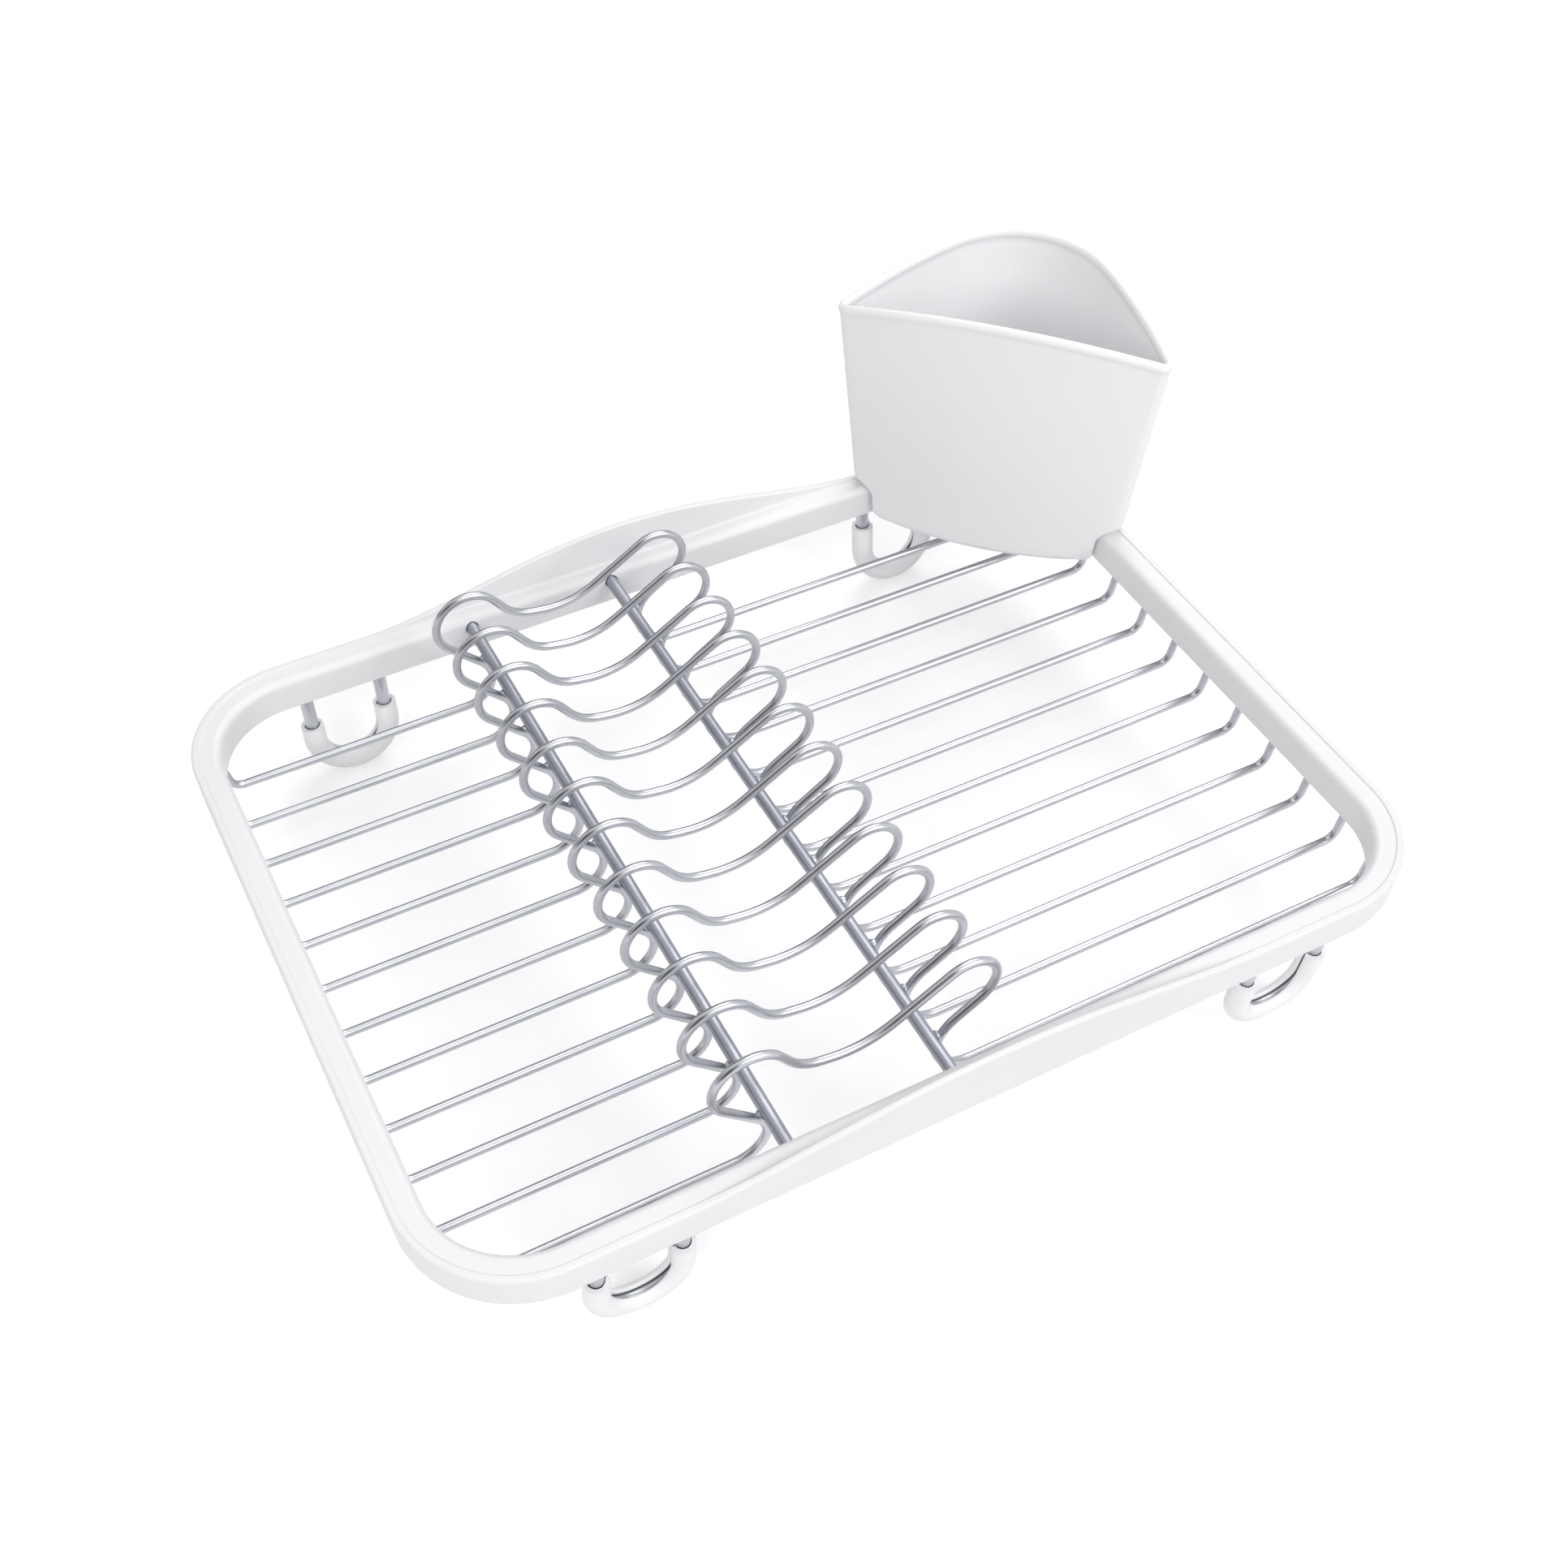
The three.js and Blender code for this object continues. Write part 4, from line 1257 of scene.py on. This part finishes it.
# ----------------------------------------------------------------------- cup
@dataclass(frozen=True)
class CupPlan:
    """Plan of the cup: two small tips, one large corner and three bowed sides.

    In plan, p runs from the rim's inner corner along -x and q along -y.
    """

    tip_along: float
    tip_inside: float
    tip_radius: float
    corner_inside: float
    corner_radius: float
    front_radius: float
    side_radius: float
    round_steps: tuple[int, int, int] = (26, 26, 30)
    side_steps: tuple[int, int, int] = (44, 30, 30)

    def outline(self, inset: float) -> Array:
        """Points round the plan, drawn in by an inset.

        Six arcs follow each other, each touching the next. A bowed side's centre is
        where circles about its two rounds' centres, of the side's radius less each
        round's own, cross.

        Args:
            inset: Distance inwards from the outer face.

        Returns:
            Points (p, q), always the same number in the same order.
        """
        rounds = np.array([(self.tip_along, self.tip_inside), (self.tip_inside, self.tip_along),
                           (self.corner_inside, self.corner_inside)])
        radii = (self.tip_radius, self.tip_radius, self.corner_radius)
        bows = (self.front_radius, self.side_radius, self.side_radius)
        after = (1, 2, 0)
        centres = [self.side_centre(rounds[k], rounds[n], bows[k] - radii[k], bows[k] - radii[n])
                   for k, n in enumerate(after)]
        arcs = []
        for k, n in enumerate(after):
            start, turn, end = rounds[k] - centres[k - 1], rounds[k] - centres[k], rounds[n] - centres[k]
            arcs.append(self.arc(rounds[k], radii[k] - inset, start, turn, self.round_steps[k]))
            arcs.append(self.arc(centres[k], bows[k] - inset, turn, end, self.side_steps[k]))
        return np.concatenate(arcs)

    @staticmethod
    def side_centre(a: Array, b: Array, reach_a: float, reach_b: float) -> Array:
        """Where two circles cross, to the left of the line from a to b.

        With d as the distance from a to b, the crossing lies (ra^2 - rb^2 + d^2) / 2d
        along the line, and as far beside it as the first radius leaves.

        Args:
            a: Centre of the first circle.
            b: Centre of the second circle.
            reach_a: Radius of the first circle.
            reach_b: Radius of the second circle.

        Returns:
            The crossing, as p and q.
        """
        span, way = np.linalg.norm(b - a), unit(b - a)
        along = (reach_a ** 2 - reach_b ** 2 + span ** 2) / (2 * span)
        return a + way * along + np.array([-way[1], way[0]]) * math.sqrt(reach_a ** 2 - along ** 2)

    @staticmethod
    def arc(centre: Array, radius: float, start: Array, end: Array, steps: int) -> Array:
        """Points of an arc, anticlockwise from one direction to another.

        Args:
            centre: Centre of the arc.
            radius: Radius of the arc.
            start: Direction of its first point.
            end: Direction that it stops short of by one step.
            steps: How many points it has.

        Returns:
            Points of shape (steps, 2).
        """
        first, last = (math.atan2(way[1], way[0]) for way in (start, end))
        swept = (last - first) % (2 * math.pi)
        return centre + radius * spoke(first + swept * np.arange(steps) / steps)


@dataclass
class Cup:
    """The cutlery cup: a thin wall on a three-sided plan, with a ledge that rests
    on the rim, a lower part inside the rim's corner and a rolled top edge."""

    rim: Rim
    foot_plan: CupPlan = CupPlan(61.4, -4.9, 5.4, 27.4, 36.9, 157, 400)
    top_plan: CupPlan = CupPlan(71.7, -6.6, 4.3, 22.5, 40.4, 285, 262)
    wall: float = 2.2
    rise: float = 81
    arch: float = 6.7
    drop: float = 14.7
    side_gap: float = 1.2
    ledge_fillet: float = 4
    ledge_edge: float = 3
    pocket_soft: float = 0.06
    floor_round: float = 4
    inner_floor_round: float = 2.6
    floor_shares: tuple[float, ...] = (0.25, 0.6, 0.97)
    drop_shares: tuple[float, ...] = (0.3, 0.6, 1.0)
    flat_shares: tuple[float, ...] = (0.08, 0.5, 0.92)
    round_steps: int = 8
    fillet_steps: int = 9
    wall_steps: int = 12
    bead_out: float = 1.5
    bead_up: float = 1.85
    bead_start: float = 1.6
    bead_steps: int = 22
    seat_gap: float = 0.3
    hole_diameter: float = 6
    hole_sides: int = 32
    hole_pitch: float = 14
    hole_edge: float = 15
    hole_rows: int = 3
    hole_lead: float = 2
    eye: float = 22

    @property
    def ledge(self) -> float:
        """Underside of the ledge, above the rim's band."""
        return self.seat_gap + self.rim.roll

    def outline(self, height: Number, inset: Number) -> Array:
        """Plan of the wall at a height above the band, drawn in by an inset.

        The plan goes evenly from the foot's to the top's with the height.

        Args:
            height: Height above the band, one number or one for each point.
            inset: Distance inwards from the outer wall, likewise.

        Returns:
            Points (p, q) of shape (n, 2).
        """
        share, inset = np.reshape(height, (-1, 1)) / self.rise, np.reshape(inset, (-1, 1))
        foot, top = (plan.outline(0) + inset * (plan.outline(1) - plan.outline(0))
                     for plan in (self.foot_plan, self.top_plan))
        return foot * (1 - share) + top * share

    def row(self, height: Number, inset: Number) -> Array:
        """One row of the wall above the ledge."""
        return self.rim.from_corner(self.outline(height, inset), self.rim.top + height)

    def pocket_reach(self, direction: Array, inset: Number) -> Array:
        """Distance from the plan's eye to the pocket's side along a direction.

        The pocket is the quarter plane inside the rim's faces, with a round corner.
        The reach is to the nearer straight side, or to the corner's arc where the
        straight sides meet it.

        Args:
            direction: Unit directions in plan, shape (n, 2).
            inset: Distance inwards from the pocket's own side.

        Returns:
            One distance for each direction.
        """
        centre = self.rim.inner_corner
        low = self.side_gap + inset
        safe = np.minimum(direction, -TINY)
        straight = ((np.reshape(low, (-1, 1)) - self.eye) / safe).min(axis=1)
        hit = self.eye + direction * straight[:, None]
        offset = self.eye - centre
        half = offset * direction.sum(axis=1)
        arc = np.sqrt(np.maximum(half ** 2 - 2 * offset ** 2 + (centre - low) ** 2, 0)) - half
        return np.where((hit < centre).all(axis=1), arc, straight)

    def pocket_row(self, height: Number, inset: Number) -> Array:
        """One row of the wall that keeps inside the rim's corner.

        Where the pocket is nearer the plan's eye than the wall is, the row follows
        the pocket. The change from one to the other is rounded: with a as the
        pocket's reach over the wall's, the row's share is the smooth minimum of 1
        and a. That is the minimum less a quarter of the softness times the square
        of 1 - |1 - a| / softness, where this is positive.

        Args:
            height: Height above the band, one number or one for each point.
            inset: Distance inwards from the outer wall and from the pocket's side.

        Returns:
            Points of shape (n, 3) in the frame.
        """
        from_eye = self.outline(height, inset) - self.eye
        reach = np.linalg.norm(from_eye, axis=1)
        limit = self.pocket_reach(unit(from_eye), inset) / reach
        near = np.maximum(1 - np.abs(1 - limit) / self.pocket_soft, 0)
        share = np.minimum(1, limit) - near ** 2 * self.pocket_soft / 4
        return self.rim.from_corner(self.eye + from_eye * share[:, None], self.rim.top + height)

    def top_height(self) -> Array:
        """Height of the top edge: an arch of 1 - t^2 between the two tips.

        Returns:
            One height for each point of the plan.
        """
        plan = self.top_plan.outline(0)
        reach = (plan[:, 0] - plan[:, 1]) / (self.top_plan.tip_along - self.top_plan.tip_inside)
        return self.rise + self.arch * (1 - reach ** 2)

    def step(self, inset: float) -> tuple[Array, Array]:
        """How far the wall stands outside the pocket, and the step's steepest turn.

        With w as the overhang, f as the fillet and e as the edge's radius, the turn
        is the angle whose cosine is 1 - w / (f + e), and a right angle at most.

        Args:
            inset: Distance inwards from the outer face.

        Returns:
            Overhang and angle, one of each for every point of the plan.
        """
        pocket = self.pocket_row(self.ledge, inset)
        run, out = edge_run(pocket), self.row(self.ledge, inset) - pocket
        over = np.abs(out[:, 0] * run[:, 1] - out[:, 1] * run[:, 0])
        return over, np.arccos(np.maximum(1 - over / (self.ledge_fillet + self.ledge_edge), 0))

    def step_rows(self, inset: float) -> list[Array]:
        """Rows of the step from the pocket's side out to the wall.

        A fillet goes out by f (1 - cos t) and up by f sin t until t is the step's
        steepest turn. A flat follows, and a second round of radius e turns back to
        upright. Where the overhang is small the two rounds meet in a soft S.

        Args:
            inset: Distance inwards from the outer face.

        Returns:
            Rows from the bottom up.
        """
        over, steep = self.step(inset)
        fillet, edge = self.ledge_fillet + inset, self.ledge_edge - inset
        base = self.ledge - self.ledge_fillet
        low = [(fillet * (1 - np.cos(steep * t)), base + fillet * np.sin(steep * t))
               for t in np.linspace(0, 1, self.fillet_steps)[1:]]
        (near, level), far = low[-1], over - edge * (1 - np.cos(steep))
        flat = [(near + (far - near) * t, level) for t in self.flat_shares]
        high = [(over - edge * (1 - np.cos(steep * t)), level + edge * (np.sin(steep) - np.sin(steep * t)))
                for t in np.linspace(1, 0, self.round_steps)]
        rows = []
        for reach, height in low + flat + high:
            share = np.where(over > LEAST, reach / np.maximum(over, LEAST), 1.0)[:, None]
            pocket = self.pocket_row(height, inset)
            rows.append(pocket + (self.row(height, inset) - pocket) * share)
        return rows

    def face_rows(self, inset: float, round_floor: float) -> list[Array]:
        """Rows of one face from the floor's middle up to the rolled edge.

        The floor's round goes in by r (1 - sin t) and up by r (1 - cos t). The step
        at the ledge follows, and above it the wall climbs evenly.

        Args:
            inset: Wall thickness to the outer face, 0 for the outer face itself.
            round_floor: Radius where the wall meets the floor.

        Returns:
            Rows from the bottom up.
        """
        floor, base = inset - self.drop, self.ledge - self.ledge_fillet
        above = floor + round_floor
        rows = [self.pocket_row(above - round_floor * math.cos(t), inset + round_floor * (1 - math.sin(t)))
                for t in np.linspace(0, math.pi / 2, self.round_steps)]
        middle = rows[0].mean(axis=0)
        disc = [middle + (rows[0] - middle) * share for share in self.floor_shares]
        rows += [self.pocket_row(above + (base - above) * share, inset) for share in self.drop_shares]
        rows += self.step_rows(inset)
        start = base + (self.ledge_fillet + self.ledge_edge) * np.sin(self.step(inset)[1])
        top = self.top_height() - self.bead_start * self.bead_up
        climb = np.linspace(0, 1, self.wall_steps)[1:]
        wall = [self.row(start + (top - start) * share, inset) for share in climb]
        return disc + rows + wall

    def bead_rows(self) -> list[Array]:
        """Rows of the rolled top edge, from the outer wall over to the inner.

        The point at angle t is the wall's middle plus one half width times cos t
        outwards and the other times sin t square to the edge's run.

        Returns:
            Rows in order.
        """
        middle = self.row(self.top_height(), self.wall / 2)
        run = edge_run(middle)
        out = unit(np.cross(run, Z_AXIS))
        out *= np.sign((out * (self.row(self.top_height(), 0.0) - middle)).sum(axis=1))[:, None]
        up = np.cross(run, out)
        up *= np.sign(up[:, 2:])
        meet = math.acos(self.wall / 2 / self.bead_out)
        angles = np.linspace(-meet, math.pi + meet, self.bead_steps)
        return [middle + self.bead_out * math.cos(t) * out + self.bead_up * math.sin(t) * up for t in angles]

    def build(self) -> Object:
        """Builds the cup as one closed skin and takes the drain holes.

        Returns:
            The cup.
        """
        outer, inner = self.face_rows(0, self.floor_round), self.face_rows(self.wall, self.inner_floor_round)
        skin = Patch(np.stack([*outer, *self.bead_rows(), *inner[::-1]]))
        piece = make_piece("cup_shell", [skin], SMOOTH_THIN)
        combine(piece, self.drain_holes(), Cut.TAKE, SMOOTH_THIN)
        return piece

    def drain_holes(self) -> list[Patch]:
        """Upright cutters for the drain holes, in a triangle of rows in the corner.

        Returns:
            One closed cutter for each hole.
        """
        places = [(self.hole_edge + k * self.hole_pitch, self.hole_edge + row * self.hole_pitch)
                  for row in range(self.hole_rows) for k in range(self.hole_rows - row)]
        height = self.rim.top - self.drop + np.array([-self.hole_lead, self.wall + self.hole_lead])
        section = circle(self.hole_diameter / 2, self.hole_sides)
        return [Patch(carry(section, self.rim.from_corner(np.array(place), height), X_AXIS, Y_AXIS))
                for place in places]


# -------------------------------------------------------------------- studio
@dataclass(frozen=True)
class Viewpoint:
    """The camera: where it looks, from which side, and its lens."""

    target: Place = (4.66, 15.72, 25.90)
    side_angle: float = math.radians(-28.587)
    height_angle: float = math.radians(47.818)
    roll: float = math.radians(0.962)
    distance: float = 675.3
    lens: float = 44.39
    sensor: float = 36
    clip: tuple[float, float] = (0.01, 50)

    def place(self) -> Object:
        """Makes the camera and gives it to the scene.

        It stands back from its target along (sin s cos h, -cos s cos h, sin h), with
        s and h as its side and height angles, and is rolled about that line.

        Returns:
            The camera.
        """
        side, height = self.side_angle, self.height_angle
        across = Vector((math.cos(side), math.sin(side), 0))
        level = math.cos(height)
        back = Vector((math.sin(side) * level, -math.cos(side) * level, math.sin(height)))
        up = back.cross(across)
        right = across * math.cos(self.roll) + up * math.sin(self.roll)
        above = up * math.cos(self.roll) - across * math.sin(self.roll)
        data = bpy.data.cameras.new("camera")
        data.lens, data.sensor_width = self.lens, self.sensor
        data.clip_start, data.clip_end = self.clip
        camera = link("camera", data)
        place = (Vector(self.target) + back * self.distance) * MM
        camera.matrix_world = Matrix.Translation(place) @ Matrix((right, above, back)).transposed().to_4x4()
        bpy.context.scene.camera = camera
        return camera


@dataclass(frozen=True)
class Lamp:
    """A soft square lamp that faces the rack, in metres and watts."""

    name: str
    place: Place
    size: float
    power: float
    mirrored: bool = True

    def hang(self) -> None:
        """Makes the lamp; metal doesn't show it unless it is mirrored."""
        data = bpy.data.lights.new(self.name, "AREA")
        data.shape, data.size, data.energy = "SQUARE", self.size, self.power
        lamp = link(self.name, data)
        lamp.location = self.place
        lamp.rotation_euler = (-Vector(self.place)).to_track_quat("-Z", "Y").to_euler()
        lamp.visible_glossy = self.mirrored


@dataclass(frozen=True)
class Card:
    """A card that only mirrored rays see: dark for metal's edges, or white."""

    name: str
    place: Place
    half: tuple[float, float]
    tone: float = 0.06

    def stand(self) -> None:
        """Makes the card, facing the rack."""
        turn = (-Vector(self.place)).to_track_quat("-Z", "Y")
        half_x, half_y = self.half
        corners = [Vector(self.place) + turn @ Vector((x * half_x, y * half_y, 0)) for x, y in CORNERS]
        card = add_mesh(self.name, corners, [range(len(corners))])
        graph = new_material(self.name)
        graph.add("OutputMaterial", {"Surface": graph.white("Emission", self.tone)})
        card.data.materials.append(bpy.data.materials[self.name])
        card.visible_camera = card.visible_diffuse = card.visible_shadow = card.visible_transmission = False


@dataclass
class Studio:
    """Pale floor, soft lamps and a white surround, in metres."""

    lamps: Sequence[Lamp]
    cards: Sequence[Card]
    ambient: float = 0.4
    floor_half: float = 6
    floor_drop: float = 0.0002
    floor_tone: Colour = (0.80, 0.80, 0.805)
    near_lift: float = 0.325
    far_lift: float = 0.85
    near_reach: float = 0.3
    far_reach: float = 1.3

    def background_rays(self, graph: Graph) -> NodeSocket:
        """Finds the rays that show the background: seen, mirrored or passing through.

        Args:
            graph: Where the nodes go.

        Returns:
            1 for those rays, and 0 for the others.
        """
        path = graph.add("LightPath").outputs
        seen = graph.maths("MAXIMUM", path["Is Camera Ray"], path["Is Glossy Ray"])
        return graph.maths("MAXIMUM", seen, path["Is Transmission Ray"])

    def light_world(self) -> None:
        """A white surround that lights the rack at a plain level."""
        world = bpy.data.worlds.new("surround")
        world.use_nodes = True
        bpy.context.scene.world = world
        graph = Graph(world.node_tree)
        lit, seen = graph.white("Background", self.ambient), graph.white("Background", 1.0)
        mix = graph.add("MixShader", {0: self.background_rays(graph), 1: lit, 2: seen})
        graph.add("OutputWorld", {"Surface": mix.outputs[0]})

    def lay_floor(self) -> None:
        """A wide floor just below the feet, matte, pale, and white far away."""
        corners = [(x * self.floor_half, y * self.floor_half, -self.floor_drop) for x, y in CORNERS]
        floor = add_mesh("floor", corners, [range(len(corners))])
        graph = new_material("floor_paper")
        matte = graph.add("BsdfDiffuse", {"Color": (*self.floor_tone, 1)})
        away = graph.add("VectorMath", {0: graph.place()}, operation="LENGTH").outputs["Value"]
        lifted = graph.ranged(away, self.near_reach, self.far_reach, self.near_lift, self.far_lift,
                              interpolation_type="SMOOTHSTEP")
        lift = graph.white("Emission", graph.maths("MULTIPLY", self.background_rays(graph), lifted))
        both = graph.add("AddShader", {0: matte.outputs[0], 1: lift})
        graph.add("OutputMaterial", {"Surface": both.outputs[0]})
        floor.data.materials.append(bpy.data.materials["floor_paper"])

    def build(self) -> None:
        """Sets up the view, the floor, the world and the lamps."""
        bpy.context.scene.view_settings.view_transform = "Standard"
        self.lay_floor()
        self.light_world()
        for lamp in self.lamps:
            lamp.hang()
        for card in self.cards:
            card.stand()


# ------------------------------------------------------------------ assembly
def box_of(node: str) -> tuple[Array, Array]:
    """Lowest and highest corner of a CAD node, in millimetres."""
    low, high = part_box(node)
    return np.array(low) / MM, np.array(high) / MM


def middle_of(node: str) -> Array:
    """Middle of a CAD node's box, in millimetres."""
    low, high = box_of(node)
    return (low + high) / 2


def main() -> None:
    """Builds the camera, the studio and every piece."""
    logging.basicConfig(level=logging.INFO, format="%(name)s %(message)s")
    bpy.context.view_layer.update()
    Viewpoint().place()
    lamps = (
        Lamp("key", (0.9, -1.2, 1.2), 1.0, 14.4),
        Lamp("fill", (-1.1, -0.9, 1.1), 1.0, 12.1, mirrored=False),
        Lamp("back_right", (0.75, 0.85, 1.35), 1.0, 9.3),
        Lamp("left", (-1.5, 0.3, 1.0), 0.9, 0.6, mirrored=False),
        Lamp("overhead", (0.1, 0.25, 1.35), 0.28, 0.8),
    )
    cards = (
        Card("back_card", (0.3, 1.25, 0.5), (1.1, 0.4)),
        Card("left_card", (-1.2, 0.7, 0.4), (0.5, 0.25)),
        Card("front_left_card", (-0.95, -0.75, 0.85), (0.8, 0.75), 0.1),
        Card("white_card", (0.22, -1.0, 1.25), (0.6, 0.4), 2.3),
    )
    Studio(lamps, cards).build()
    dresser = Dresser()

    centre = middle_of("rim_frame")
    rim = Rim((centre[0], centre[1]), box_of("rim_frame")[0][2])
    rows = [middle_of(f"grid_wire_{k + 1:02d}")[1] - centre[1] for k in range(WIRES)]
    bars = {name: tuple(middle_of(name)[[0, 2]]) for name in ("cross_bar_left", "cross_bar_right")}
    grid = Grid(rim, rows, bars)
    places = (("back_left", 1, 14.5), ("back_right", 1, 9.0),
              ("front_left", -1, 10.0), ("front_right", -1, 10.0))
    feet = [Foot(rim, name, middle_of(f"foot_wire_{name}")[0], side, drop) for name, side, drop in places]
    seats = [seat for maker in (grid, *feet) for seat in maker.seats()]
    dresser.dress(rim.build(seats), RIM_WHITE, Body.RACK, Slot.RIM, "rim_frame")
    grid.build(dresser)
    for foot in feet:
        foot.build(dresser)
    dresser.dress(Cup(rim).build(), CUP_WHITE, Body.CUP, Slot.CUP, "cutlery_cup")


if __name__ == "__main__":
    main()
